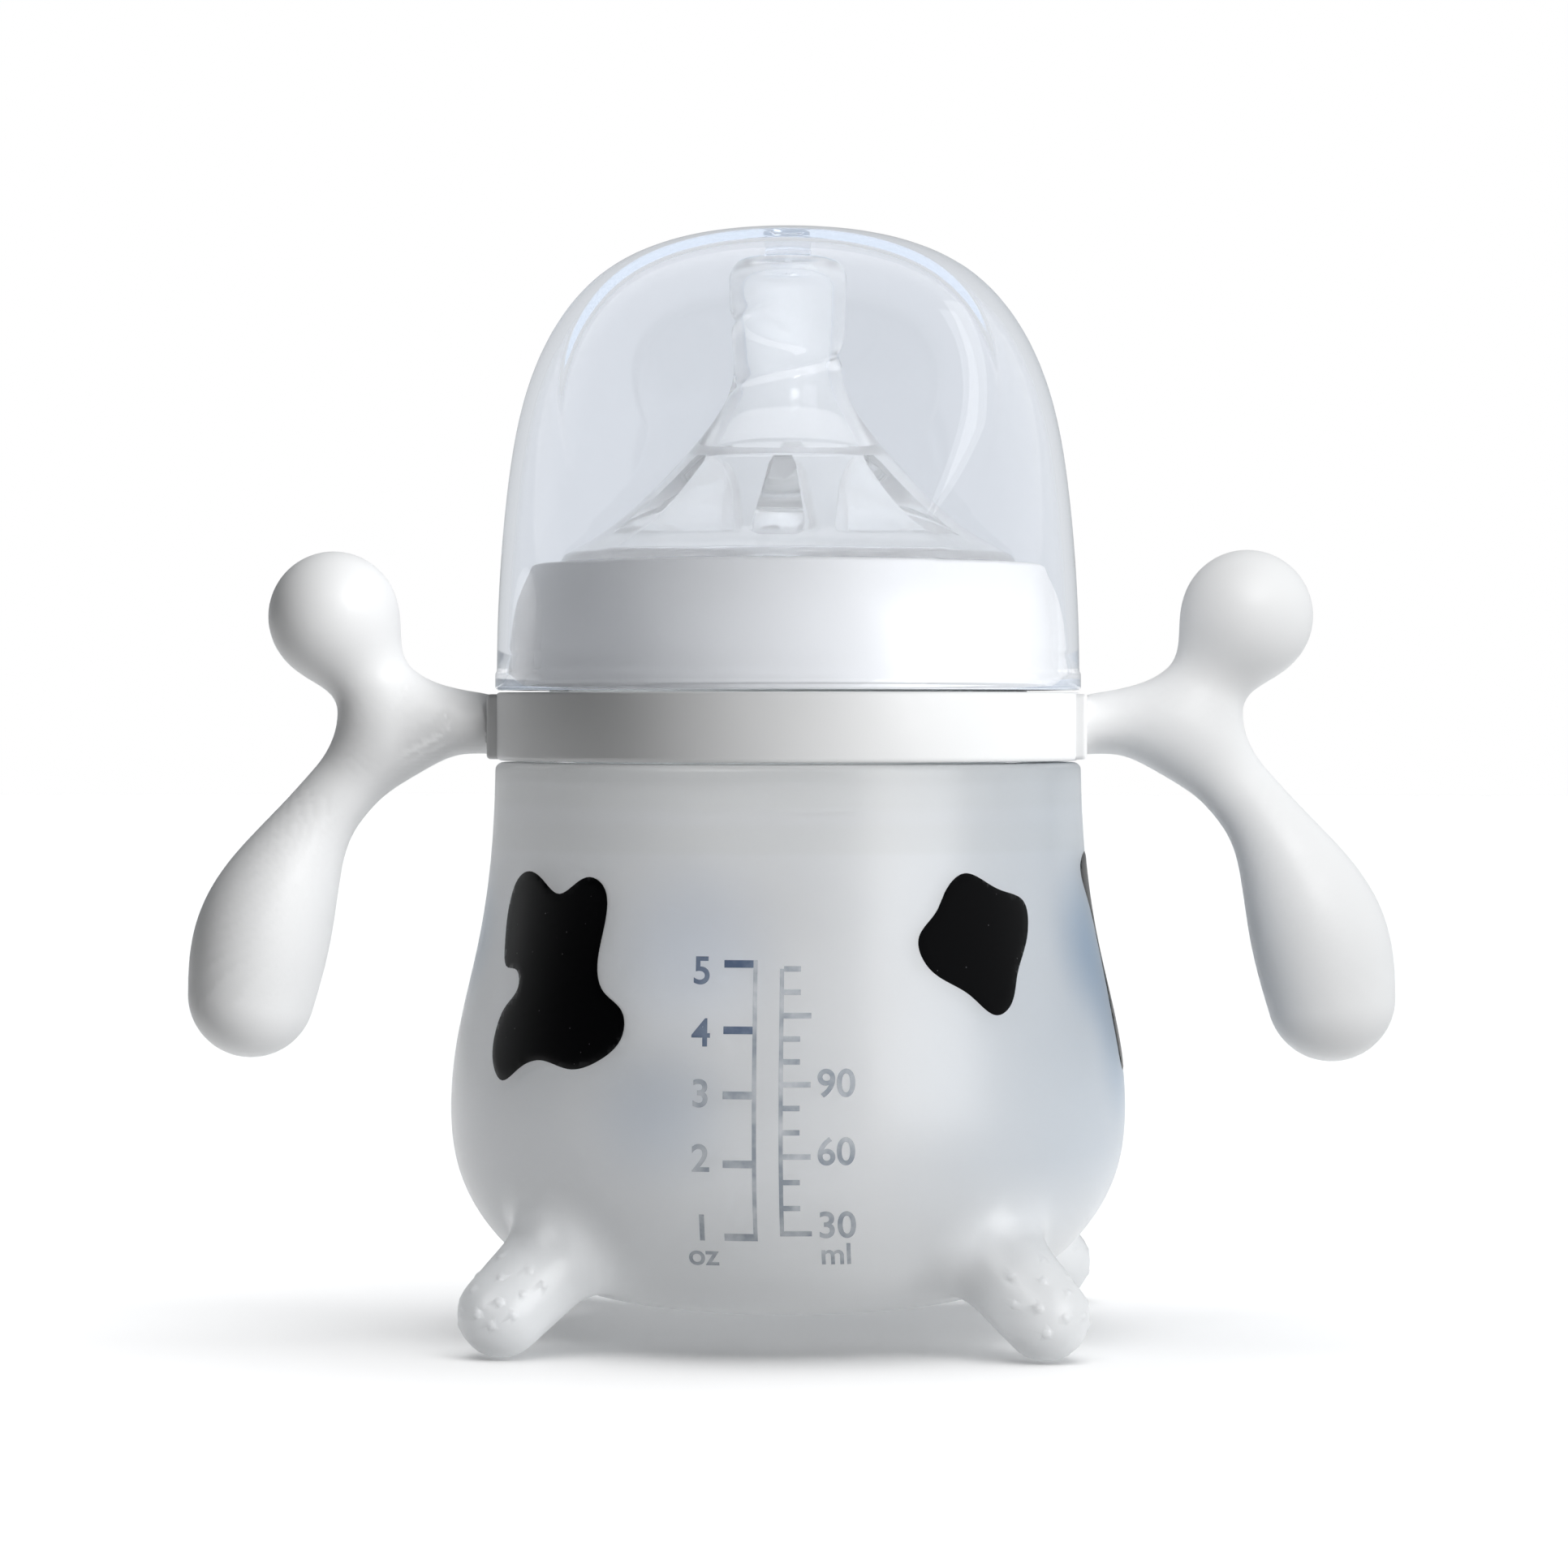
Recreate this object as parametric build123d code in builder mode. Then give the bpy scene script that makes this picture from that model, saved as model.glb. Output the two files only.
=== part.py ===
from build123d import *
import os
from math import atan, cos, degrees, radians, sin

os.makedirs("parts", exist_ok=True)

# Infant feeding bottle with two handles, dressed as a cow: a wide-neck bottle in a
# frosted silicone sleeve with four teat-shaped feet. Millimetres, +Z up, front at -Y,
# handles along X, the feet stand on Z = 0.

# ---------------------------------------------------------------- driving dimensions
fit_gap = 0.05              # between pieces that sit tight on each other

neck_outer_r = 28.0
neck_inner_r = 25.8
rim_z = 87.0                # top of the bottle's neck
shoulder_z = 62.5

thread_pitch = 5.0
thread_turns = 1.4
thread_start_z = 77.0
thread_crest = 1.3          # how far each thread stands out

ring_bottom_z = 66.55
ring_top_z = 74.5
ring_outer_r = 34.15
ring_wall = 1.9
ring_bore_r = 29.7
ring_rib_count = 16

collar_bottom_z = 74.75
collar_top_z = 89.4
collar_hole_r = 27.0
collar_inner_r = 29.75

cap_base_z = 74.75
cap_base_r = 34.3
cap_top_z = 128.9
window_r = 110.0            # radius of the flattened front window of the cap
window_wall = 1.15
window_low = (33.8, 85.0)   # distance in front of the axis, height
window_high = (13.4, 127.0)

teat_top_z = 125.5
flange_z = 87.1
flange_t = 1.1

foot_tip_r = 4.94
foot_tip_rho = 43.1
foot_tip_z = 4.8
foot_root_r = 6.2
foot_tilt = 36.0            # degrees up towards the axis
foot_length = 22.0

spot_depth = 0.5
spot_reach = 60.0

# Curves of the body, as (radius, height), from the bottom centre upwards.
sleeve_curve = [
    (0, 2.3), (17.0, 3.3), (28.2, 6.4), (34.9, 12.0), (38.5, 18.6),
    (39.5, 25.5), (38.8, 33.9), (36.3, 45.3), (34.7, 56.7), (34.3, 65.4),
]
bottle_curve = [
    (0, 4.1), (16.8, 5.1), (27.4, 8.0), (33.4, 13.1), (36.8, 19.2),
    (37.7, 25.5), (37.0, 33.6), (34.5, 45.0), (32.9, 56.0),
]
cavity_curve = [
    (0, 6.3), (16.5, 7.2), (26.6, 9.8), (32.0, 14.4), (35.1, 19.9),
    (35.9, 25.5), (35.2, 33.3), (32.7, 44.7), (31.1, 55.6),
]


def body_curve(points, end_tangent):
    """Smooth meridian through the points, flat where it crosses the axis."""
    return Spline(*points, tangents=[(1, 0), end_tangent])


def thread(radius, start_z, depth, root_overlap):
    """Right-hand helical thread; a negative depth stands inwards."""
    inward = -1 if depth < 0 else 1
    foot_r = radius - inward * root_overlap
    with BuildPart() as helical:
        with BuildLine():
            Helix(thread_pitch, thread_pitch * thread_turns, radius, center=(0, 0, start_z))
        with BuildSketch(Plane(origin=(radius, 0, start_z), x_dir=(1, 0, 0), z_dir=(0, 1, 0))):
            with BuildLine():
                Polyline(
                    (foot_r - radius, -1.0),
                    (depth, -0.5),
                    (depth, 0.5),
                    (foot_r - radius, 1.0),
                    close=True,
                )
            make_face()
        sweep(is_frenet=True)
    return helical.part


# ---------------------------------------------------------------- inner bottle
with BuildPart() as bottle:
    with BuildSketch(Plane.XZ):
        with BuildLine():
            outer = body_curve(bottle_curve, (-0.1, 1))
            shoulder = Spline(
                outer @ 1,
                (31.2, 59.8),
                (neck_outer_r, shoulder_z + 1.5),
                tangents=[(-0.1, 1), (0, 1)],
            )
            Line(shoulder @ 1, (neck_outer_r, rim_z))
            Line((neck_outer_r, rim_z), (neck_inner_r, rim_z))
            Line((neck_inner_r, rim_z), (neck_inner_r, shoulder_z))
            inner_shoulder = Spline(
                (neck_inner_r, shoulder_z),
                (29.3, 58.9),
                cavity_curve[-1],
                tangents=[(0, -1), (0.1, -1)],
            )
            body_curve(cavity_curve, (-0.1, 1))
            Line((0, cavity_curve[0][1]), (0, bottle_curve[0][1]))
        make_face()
    revolve(axis=Axis.Z)
    add(thread(neck_outer_r, thread_start_z, thread_crest, 0.4))
bottle.part.label = "bottle"
export_step(bottle.part, "parts/bottle.step")


# ---------------------------------------------------------------- cow spots
# Solid of the sleeve's outer shape, and the same lowered by the depth of a spot.
with BuildPart() as hull:
    with BuildSketch(Plane.XZ):
        with BuildLine():
            body_curve(sleeve_curve, (-0.02, 1))
            Line(sleeve_curve[-1], (0, sleeve_curve[-1][1]))
            Line((0, sleeve_curve[-1][1]), (0, sleeve_curve[0][1]))
        make_face()
    revolve(axis=Axis.Z)

with BuildPart() as spot_floor:
    with BuildSketch(Plane.XZ):
        with BuildLine():
            lowered = [(max(r - spot_depth, 0), z) for r, z in sleeve_curve]
            body_curve(lowered, (-0.02, 1))
            Line(lowered[-1], (0, sleeve_curve[-1][1]))
            Line((0, sleeve_curve[-1][1]), (0, sleeve_curve[0][1]))
        make_face()
    revolve(axis=Axis.Z)

# Each spot: compass angle of its middle (-90 is the front) and its outline as
# (sideways, height), seen square on from outside.
spots = {
    "cow_spot_front_left": (-133.0, [
        (-6.7, 54.1), (-3.3, 52.9), (-0.5, 51.7), (1.8, 52.8), (4.1, 53.7), (6.2, 52.7), (7.0, 49.5),
        (7.0, 42.9), (8.0, 41.2), (11.1, 38.8), (11.5, 36.0), (9.0, 33.4), (5.3, 32.3), (0.6, 33.1),
        (-3.4, 31.9), (-6.5, 30.5), (-8.8, 32.4), (-9.0, 36.6), (-7.8, 38.8), (-5.8, 41.2),
        (-6.6, 42.8), (-9.3, 43.2), (-10.7, 45.8), (-10.9, 50.3), (-9.5, 53.0),
    ]),
    "cow_spot_front_right": (-50.0, [
        (-1.8, 54.1), (-4.1, 52.3), (-5.6, 49.9), (-8.1, 46.9), (-7.4, 43.9), (-2.5, 40.6),
        (0.9, 38.3), (3.2, 39.4), (4.9, 42.7), (7.6, 47.4), (7.6, 50.6), (3.4, 52.3),
    ]),
    "cow_spot_right": (6.0, [
        (-10.5, 54.0), (-5.0, 56.0), (3.0, 54.5), (9.5, 56.0), (14.0, 51.0), (12.0, 45.0),
        (15.5, 39.5), (14.0, 33.0), (7.0, 29.5), (0.0, 31.5), (-7.8, 31.0), (-8.6, 36.0),
        (-6.4, 41.5), (-5.2, 46.0), (-7.8, 50.0),
    ]),
    "cow_spot_left": (163.0, [
        (-7.0, 43.0), (-8.5, 47.0), (-4.0, 52.5), (3.0, 53.0), (7.5, 49.0), (6.0, 43.5),
        (0.5, 40.5),
    ]),
    "cow_spot_back_upper": (99.0, [
        (-8.5, 45.0), (-7.0, 51.0), (-1.0, 53.0), (4.0, 50.5), (9.5, 51.5), (10.0, 46.0),
        (4.5, 42.5), (-2.0, 43.5),
    ]),
    "cow_spot_back_lower": (116.0, [
        (-9.5, 27.5), (-8.0, 33.5), (-2.5, 32.5), (3.5, 35.0), (9.5, 31.0), (8.0, 24.5),
        (2.5, 22.0), (-3.0, 24.5),
    ]),
}

pockets = []
for spot_name, (angle, outline) in spots.items():
    facing = (cos(radians(angle)), sin(radians(angle)), 0)
    sideways = (-sin(radians(angle)), cos(radians(angle)), 0)
    with BuildPart() as spot:
        with BuildSketch(Plane(origin=(0, 0, 0), x_dir=sideways, z_dir=facing)):
            with BuildLine():
                Spline(*outline, periodic=True)
            make_face()
        extrude(amount=spot_reach)
        add(spot_floor.part, mode=Mode.SUBTRACT)
    pockets.append(spot.part)
    with spot:
        add(hull.part, mode=Mode.INTERSECT)
    spot.part.label = spot_name
    export_step(spot.part, "parts/" + spot_name + ".step")


# ---------------------------------------------------------------- silicone sleeve
with BuildPart() as sleeve:
    with BuildSketch(Plane.XZ):
        with BuildLine():
            outer = body_curve(sleeve_curve, (-0.02, 1))
            RadiusArc(outer @ 1, (33.5, 66.35), -0.95)
            Line((33.5, 66.35), (0, 66.35))
            Line((0, 66.35), (0, sleeve_curve[0][1]))
        make_face()
    revolve(axis=Axis.Z)
    for quarter in range(4):
        around = 45 + 90 * quarter
        out_x = cos(radians(around))
        out_y = sin(radians(around))
        up = sin(radians(foot_tilt))
        along = cos(radians(foot_tilt))
        tip = (foot_tip_rho * out_x, foot_tip_rho * out_y, foot_tip_z)
        root_dir = (-along * out_x, -along * out_y, up)
        with BuildSketch(Plane(origin=tip, z_dir=root_dir)) as tip_ring:
            Circle(foot_tip_r)
        with BuildSketch(Plane(origin=tip, z_dir=root_dir).offset(foot_length)) as root_ring:
            Circle(foot_root_r)
        loft()
        with Locations(tip):
            Sphere(foot_tip_r)
    with BuildSketch(Plane.XZ):
        with BuildLine():
            body_curve([(r + (fit_gap if r else 0), z - fit_gap) for r, z in bottle_curve], (-0.1, 1))
            Line((32.95, 55.95), (32.5, 64.3))
            Line((32.5, 64.3), (neck_outer_r + 0.1, 64.3))
            Line((neck_outer_r + 0.1, 64.3), (neck_outer_r + 0.1, 67.0))
            Line((neck_outer_r + 0.1, 67.0), (0, 67.0))
            Line((0, 67.0), (0, bottle_curve[0][1] - fit_gap))
        make_face()
    revolve(axis=Axis.Z, mode=Mode.SUBTRACT)
    split(bisect_by=Plane.XY, keep=Keep.TOP)
    for pocket in pockets:
        add(pocket, mode=Mode.SUBTRACT)
sleeve.part.label = "sleeve"
export_step(sleeve.part, "parts/sleeve.step")


# ---------------------------------------------------------------- handle ring
socket_reach = 35.0         # face of each arm socket, from the axis
peg_r = 2.4
peg_depth = 2.2

with BuildPart() as handle_ring:
    with BuildSketch(Plane.XZ):
        with BuildLine():
            Polyline(
                (ring_outer_r - 0.15, ring_top_z),
                (ring_outer_r, ring_top_z - 0.5),
                (ring_outer_r, ring_bottom_z + 0.7),
                (ring_outer_r - 0.6, ring_bottom_z),
                (ring_outer_r - ring_wall, ring_bottom_z),
                (ring_outer_r - ring_wall, ring_top_z - 1.8),
                (ring_bore_r, ring_top_z - 1.8),
                (ring_bore_r, ring_top_z),
                close=True,
            )
        make_face()
    revolve(axis=Axis.Z)
    with BuildSketch(Plane.XY.offset(ring_bottom_z + 0.8)):
        with PolarLocations((ring_outer_r - ring_wall + ring_bore_r) / 2, ring_rib_count, start_angle=180 / ring_rib_count):
            Rectangle(ring_outer_r - ring_wall - ring_bore_r + 0.4, 0.9)
    extrude(amount=ring_top_z - ring_bottom_z - 1.6)
    for side in (-1, 1):
        with BuildSketch(Plane(origin=(side * (ring_outer_r - 4.1), 0, 70.5), x_dir=(0, 1, 0), z_dir=(side, 0, 0))):
            RectangleRounded(10.6, 7.5, 3.2)
        extrude(amount=socket_reach - ring_outer_r + 4.1)
        with BuildSketch(Plane(origin=(side * socket_reach, 0, 70.6), x_dir=(0, 1, 0), z_dir=(side, 0, 0))):
            Circle(peg_r)
        extrude(amount=-peg_depth, mode=Mode.SUBTRACT)
handle_ring.part.label = "handle_ring"
export_step(handle_ring.part, "parts/handle_ring.step")


# ---------------------------------------------------------------- handles
ball_centre = (53.7, 83.5)
ball_r = 7.65
bulb_centre = (63.5, 38.5)
bulb_r = 7.3

# Stations along each limb: (x, z, in-plane radius, front-to-back radius, lean),
# lean being the angle of the limb's direction up from straight outwards.
arm_and_grip = [
    (35.02, 70.6, 3.45, 4.6, 0),
    (40.5, 70.9, 3.95, 4.6, 0),
    (46.0, 69.2, 5.2, 5.1, -32),
    (50.4, 65.2, 4.7, 5.0, -50),
    (56.4, 58.4, 4.65, 5.0, -52),
    (59.8, 52.1, 6.6, 6.7, -66),
    (62.2, 45.2, 7.9, 7.9, -78),
    (63.1, 41.8, 7.85, 7.85, -84),
    (63.5, 38.5, 7.3, 7.3, -86),
]
neck_to_ball = [
    (45.6, 70.0, 4.0, 4.4, 60),
    (47.3, 73.2, 4.6, 4.6, 60),
    (49.5, 76.5, 5.1, 5.1, 60),
    (51.7, 80.0, 6.6, 6.4, 60),
    (53.7, 83.5, 7.4, 7.4, 60),
]


def limb(stations, side):
    """Loft through oval sections standing square to the limb."""
    with BuildPart() as body:
        for x, z, in_plane, deep, lean in stations:
            heading = (side * cos(radians(lean)), 0, sin(radians(lean)))
            with BuildSketch(Plane(origin=(side * x, 0, z), x_dir=(0, 1, 0), z_dir=heading)):
                Ellipse(deep, in_plane)
        loft()
    return body.part


def handle(side):
    with BuildPart() as body:
        add(limb(arm_and_grip, side))
        add(limb(neck_to_ball, side))
        with Locations((side * ball_centre[0], 0, ball_centre[1])):
            Sphere(ball_r)
        with Locations((side * bulb_centre[0], 0, bulb_centre[1])):
            Sphere(bulb_r)
        with BuildSketch(Plane(origin=(side * (socket_reach + 0.5), 0, 70.6), x_dir=(0, 1, 0), z_dir=(-side, 0, 0))):
            Circle(peg_r)
        extrude(amount=peg_depth + 0.3)
    return body.part


with BuildPart() as handle_right:
    add(handle(1))
handle_right.part.label = "handle_right"
export_step(handle_right.part, "parts/handle_right.step")

with BuildPart() as handle_left:
    add(handle(-1))
handle_left.part.label = "handle_left"
export_step(handle_left.part, "parts/handle_left.step")


# ---------------------------------------------------------------- screw collar
with BuildPart() as collar:
    with BuildSketch(Plane.XZ):
        with BuildLine():
            side = Spline(
                (32.8, collar_bottom_z + 0.4),
                (32.5, 80.5),
                (31.6, 85.5),
                (30.4, collar_top_z - 1.1),
            )
            RadiusArc(side @ 1, (29.3, collar_top_z), -1.1)
            Polyline(
                (29.3, collar_top_z),
                (collar_hole_r, collar_top_z),
                (collar_hole_r, flange_z + flange_t + 0.1),
                (collar_inner_r, flange_z + flange_t + 0.1),
                (collar_inner_r, collar_bottom_z),
                (32.4, collar_bottom_z),
                (32.8, collar_bottom_z + 0.4),
            )
        make_face()
    revolve(axis=Axis.Z)
    # Half a turn away from the neck's thread, so the two lie side by side.
    collar_thread = thread(collar_inner_r, thread_start_z, -thread_crest, 0.4)
    add(collar_thread.rotate(Axis.Z, 180))
collar.part.label = "collar"
export_step(collar.part, "parts/collar.step")


# ---------------------------------------------------------------- teat
petal_count = 6
petal_inner = 7.9
petal_outer = 17.0

with BuildPart() as teat:
    with BuildSketch(Plane.XZ):
        with BuildLine():
            tip = RadiusArc((4.0, teat_top_z), (6.85, 122.2), 3.1)
            nipple = Spline(tip @ 1, (6.5, 115.5), (6.45, 111.0), (8.3, 106.7), (11.2, 102.9))
            cone = Spline(nipple @ 1, (16.9, 96.9), (21.3, 93.4), (26.2, 90.6))
            Polyline(
                cone @ 1,
                (26.6, 90.0),
                (26.6, flange_z + flange_t),
                (29.2, flange_z + flange_t),
                (29.2, flange_z),
                (24.9, flange_z),
                (24.9, 89.3),
            )
            inner_cone = Spline((24.9, 89.3), (20.2, 92.2), (15.8, 95.6), (10.2, 101.5))
            Line(inner_cone @ 1, (8.6, 101.9))
            inner_nipple = Spline((8.6, 101.9), (6.6, 106.5), (5.0, 110.8), (5.1, 115.5), (5.35, 121.6))
            RadiusArc(inner_nipple @ 1, (3.4, 123.9), -2.2)
            Polyline((3.4, 123.9), (0.35, 123.9), (0.35, teat_top_z), (4.0, teat_top_z))
        make_face()
    revolve(axis=Axis.Z)
    # Six stiffening petals stand on the inside of the cone.
    for petal in range(petal_count):
        around = -90 + 360 / petal_count * petal
        petal_plane = Plane(
            origin=(0, 0, 0),
            x_dir=(cos(radians(around)), sin(radians(around)), 0),
            z_dir=(sin(radians(around)), -cos(radians(around)), 0),
        )
        with BuildSketch(petal_plane):
            with BuildLine():
                Polyline(
                    (petal_inner, 91.6),
                    (petal_outer, 91.6),
                    (20.6, 92.6),
                    (16.2, 96.2),
                    (11.0, 101.6),
                    (petal_inner + 0.9, 100.4),
                    (petal_inner, 99.0),
                    close=True,
                )
            make_face()
        extrude(amount=1.1, both=True)
teat.part.label = "teat"
export_step(teat.part, "parts/teat.step")


# ---------------------------------------------------------------- dust cap
window_run = window_high[1] - window_low[1]
window_lean = (window_low[0] - window_high[0]) / window_run
lean_cos = 1 / (1 + window_lean ** 2) ** 0.5
lean_sin = window_lean * lean_cos
window_middle = (
    0,
    -(window_low[0] + window_high[0]) / 2 + window_r * lean_cos,
    (window_low[1] + window_high[1]) / 2 - window_r * lean_sin,
)

window_turn = (-degrees(atan(window_lean)), 0, 0)

with BuildPart() as cap_hollow:
    with BuildSketch(Plane.XZ):
        with BuildLine():
            dome = Spline(
                (32.8, 79.0), (32.45, 87.2), (31.4, 98.6), (29.7, 107.8), (26.9, 115.0),
                (21.0, 122.2), (11.6, 126.4), (0, 127.5),
                tangents=[(-0.01, 1), (-1, 0)],
            )
            Polyline(
                dome @ 1,
                (0, cap_base_z - 1),
                (33.1, cap_base_z - 1),
                (33.1, 78.0),
                dome @ 0,
            )
        make_face()
    revolve(axis=Axis.Z)
    with Locations(Location(window_middle, window_turn)):
        Cylinder(window_r - window_wall, 300, mode=Mode.INTERSECT)

with BuildPart() as dust_cap:
    with BuildSketch(Plane.XZ):
        with BuildLine():
            dome = Spline(
                (34.1, 78.5), (33.8, 87.2), (32.8, 98.6), (31.05, 108.2), (28.1, 115.8),
                (21.9, 123.4), (12.0, 127.8), (0, cap_top_z),
                tangents=[(-0.01, 1), (-1, 0)],
            )
            Polyline(
                dome @ 1,
                (0, cap_base_z),
                (cap_base_r - 0.2, cap_base_z),
                (cap_base_r, cap_base_z + 0.3),
                (cap_base_r, cap_base_z + 1.7),
                (cap_base_r - 0.2, cap_base_z + 2.0),
                dome @ 0,
            )
        make_face()
    revolve(axis=Axis.Z)
    with Locations(Location(window_middle, window_turn)):
        Cylinder(window_r, 300, mode=Mode.INTERSECT)
    add(cap_hollow.part, mode=Mode.SUBTRACT)
    # Short plug that closes the teat's hole while the cap is on.
    with BuildSketch(Plane.XY.offset(teat_top_z + 0.3)):
        Circle(2.75)
    extrude(amount=2.4)
dust_cap.part.label = "dust_cap"
export_step(dust_cap.part, "parts/dust_cap.step")
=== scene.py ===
"""Cow-styled feeding bottle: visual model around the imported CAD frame.

Lengths are millimetres and are turned into metres when a mesh is made; the floor, the lamps
and the camera are placed in metres.
"""
import bpy
import bmesh
import math
import numpy as np
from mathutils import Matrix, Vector
from mathutils.geometry import delaunay_2d_cdt


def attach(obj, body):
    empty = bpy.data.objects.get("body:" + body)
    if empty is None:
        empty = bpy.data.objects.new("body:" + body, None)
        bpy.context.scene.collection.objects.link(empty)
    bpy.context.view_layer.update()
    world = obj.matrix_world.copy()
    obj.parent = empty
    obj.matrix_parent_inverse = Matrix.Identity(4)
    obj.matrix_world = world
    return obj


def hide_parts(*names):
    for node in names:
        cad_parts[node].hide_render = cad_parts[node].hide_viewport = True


MM = 0.001

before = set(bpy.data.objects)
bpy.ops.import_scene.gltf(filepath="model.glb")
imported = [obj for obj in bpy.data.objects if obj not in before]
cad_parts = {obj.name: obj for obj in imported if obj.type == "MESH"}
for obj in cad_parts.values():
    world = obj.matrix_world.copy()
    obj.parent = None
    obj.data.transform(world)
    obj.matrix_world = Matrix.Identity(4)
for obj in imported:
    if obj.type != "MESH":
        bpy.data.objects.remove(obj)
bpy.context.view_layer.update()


# ------------------------------------------------------------------ curves
def run_lengths(points):
    """Length along a line of points, at each point."""
    steps = np.linalg.norm(np.diff(points, axis=0), axis=1)
    return np.concatenate([[0.0], np.cumsum(steps)])


def smooth_curve(knots, count, start=None, end=None):
    """Points along a cubic curve through the knots, clamped to unit end tangents."""
    p = np.array(knots, float)
    t = run_lengths(p)
    gaps = np.linalg.norm(np.diff(p, axis=0), axis=1)
    n = len(p)
    rows = np.zeros((n, n))
    right = np.zeros_like(p)
    for i in range(1, n - 1):
        before, after = gaps[i - 1], gaps[i]
        rows[i, i - 1] = after
        rows[i, i] = 2 * (before + after)
        rows[i, i + 1] = before
        slope_before = (p[i] - p[i - 1]) / before
        slope_after = (p[i + 1] - p[i]) / after
        right[i] = 3 * (after * slope_before + before * slope_after)
    for i, j, tangent in ((0, 1, start), (n - 1, n - 2, end)):
        rows[i, i] = 1.0
        if tangent is not None:
            right[i] = np.array(tangent, float) / np.linalg.norm(tangent)
        else:
            rows[i, j] = 0.5
            slope = (p[1] - p[0]) / gaps[0] if i == 0 else (p[-1] - p[-2]) / gaps[-1]
            right[i] = 1.5 * slope
    m = np.linalg.solve(rows, right)
    u = np.linspace(0, t[-1], count)
    k = np.clip(np.searchsorted(t, u, side="right") - 1, 0, n - 2)
    h = gaps[k][:, None]
    s = ((u - t[k]) / gaps[k])[:, None]
    return (
        (2 * s ** 3 - 3 * s ** 2 + 1) * p[k]
        + (s ** 3 - 2 * s ** 2 + s) * h * m[k]
        + (-2 * s ** 3 + 3 * s ** 2) * p[k + 1]
        + (s ** 3 - s ** 2) * h * m[k + 1]
    )


def rounded_corners(corners, steps=5):
    """Outline through (r, z, radius) corners with each corner rounded by an arc."""
    out = []
    n = len(corners)
    for i, (r, z, radius) in enumerate(corners):
        here = np.array((r, z), float)
        if radius == 0:
            out.append(tuple(here))
            continue
        back = np.array(corners[i - 1][:2]) - here
        ahead = np.array(corners[(i + 1) % n][:2]) - here
        back /= np.linalg.norm(back)
        ahead /= np.linalg.norm(ahead)
        half = math.acos(max(-1.0, min(1.0, float(back @ ahead)))) / 2
        reach = radius / math.tan(half)
        middle = back + ahead
        centre = here + middle / np.linalg.norm(middle) * radius / math.sin(half)
        first = here + back * reach - centre
        last = here + ahead * reach - centre
        turn = math.atan2(first[0] * last[1] - first[1] * last[0], float(first @ last))
        for k in range(steps + 1):
            a = turn * k / steps
            c, s = math.cos(a), math.sin(a)
            out.append((centre[0] + c * first[0] - s * first[1], centre[1] + s * first[0] + c * first[1]))
    return out


def joined(*lines):
    """One list of (r, z) points from several lines."""
    return [tuple(q) for line in lines for q in line]


# ------------------------------------------------------------------ meshes
def make_object(name, verts, faces, smooth_angle=40.0):
    """Smooth-shaded object in the scene from points in millimetres."""
    mesh = bpy.data.meshes.new(name)
    mesh.from_pydata([tuple(v) for v in np.asarray(verts, float) * MM], [], faces)
    mesh.validate()
    mesh.shade_smooth()
    mesh.set_sharp_from_angle(angle=math.radians(smooth_angle))
    obj = bpy.data.objects.new(name, mesh)
    bpy.context.scene.collection.objects.link(obj)
    return obj


def lathe_mesh(profile, segments=192):
    """Verts and faces of a closed outline turned about Z; points at r = 0 become poles."""
    verts = []
    rings = []
    angles = np.linspace(0, 2 * math.pi, segments, endpoint=False)
    for r, z in profile:
        if r < 1e-6:
            rings.append([len(verts)])
            verts.append((0.0, 0.0, z))
        else:
            rings.append(list(range(len(verts), len(verts) + segments)))
            verts.extend((r * math.cos(a), r * math.sin(a), z) for a in angles)
    faces = []
    for a, b in zip(rings, rings[1:] + rings[:1]):
        if len(a) == 1 and len(b) == 1:
            continue
        for k in range(segments):
            j = (k + 1) % segments
            if len(a) == 1:
                faces.append((a[0], b[k], b[j]))
            elif len(b) == 1:
                faces.append((a[k], b[0], a[j]))
            else:
                faces.append((a[k], b[k], b[j], a[j]))
    return verts, faces


def tube_faces(rows, across):
    """Faces of a closed tube: rows of points joined one to the next, with both ends shut."""
    faces = []
    for i in range(rows - 1):
        for k in range(across):
            j = (k + 1) % across
            a, b = across * i, across * (i + 1)
            faces.append((a + k, a + j, b + j, b + k))
    faces.append(tuple(range(across)))
    faces.append(tuple(across * (rows - 1) + k for k in reversed(range(across))))
    return faces


def outward(obj):
    """Turn every face of a closed mesh to look outwards, and hand the object back."""
    bm = bmesh.new()
    bm.from_mesh(obj.data)
    bmesh.ops.recalc_face_normals(bm, faces=bm.faces)
    bm.to_mesh(obj.data)
    bm.free()
    return obj


def lathe(name, profile, segments=192, smooth_angle=40.0):
    """Closed outline turned about Z."""
    verts, faces = lathe_mesh(profile, segments)
    return outward(make_object(name, verts, faces, smooth_angle))


def apply_modifiers(obj):
    """Keep the mesh that the object's modifiers give, and drop the modifiers."""
    graph = bpy.context.evaluated_depsgraph_get()
    mesh = bpy.data.meshes.new_from_object(obj.evaluated_get(graph))
    obj.modifiers.clear()
    old = obj.data
    obj.data = mesh
    bpy.data.meshes.remove(old)


def combine(obj, other, operation):
    """Boolean of two closed meshes; the second object is used up."""
    cut = obj.modifiers.new("cut", "BOOLEAN")
    cut.operation = operation
    cut.solver = "EXACT"
    cut.object = other
    bpy.context.view_layer.update()
    apply_modifiers(obj)
    bpy.data.objects.remove(other, do_unlink=True)


def shade_again(obj, smooth_angle):
    """Smooth shading with sharp edges above the angle, after a boolean."""
    obj.data.shade_smooth()
    obj.data.set_sharp_from_angle(angle=math.radians(smooth_angle))


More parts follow.
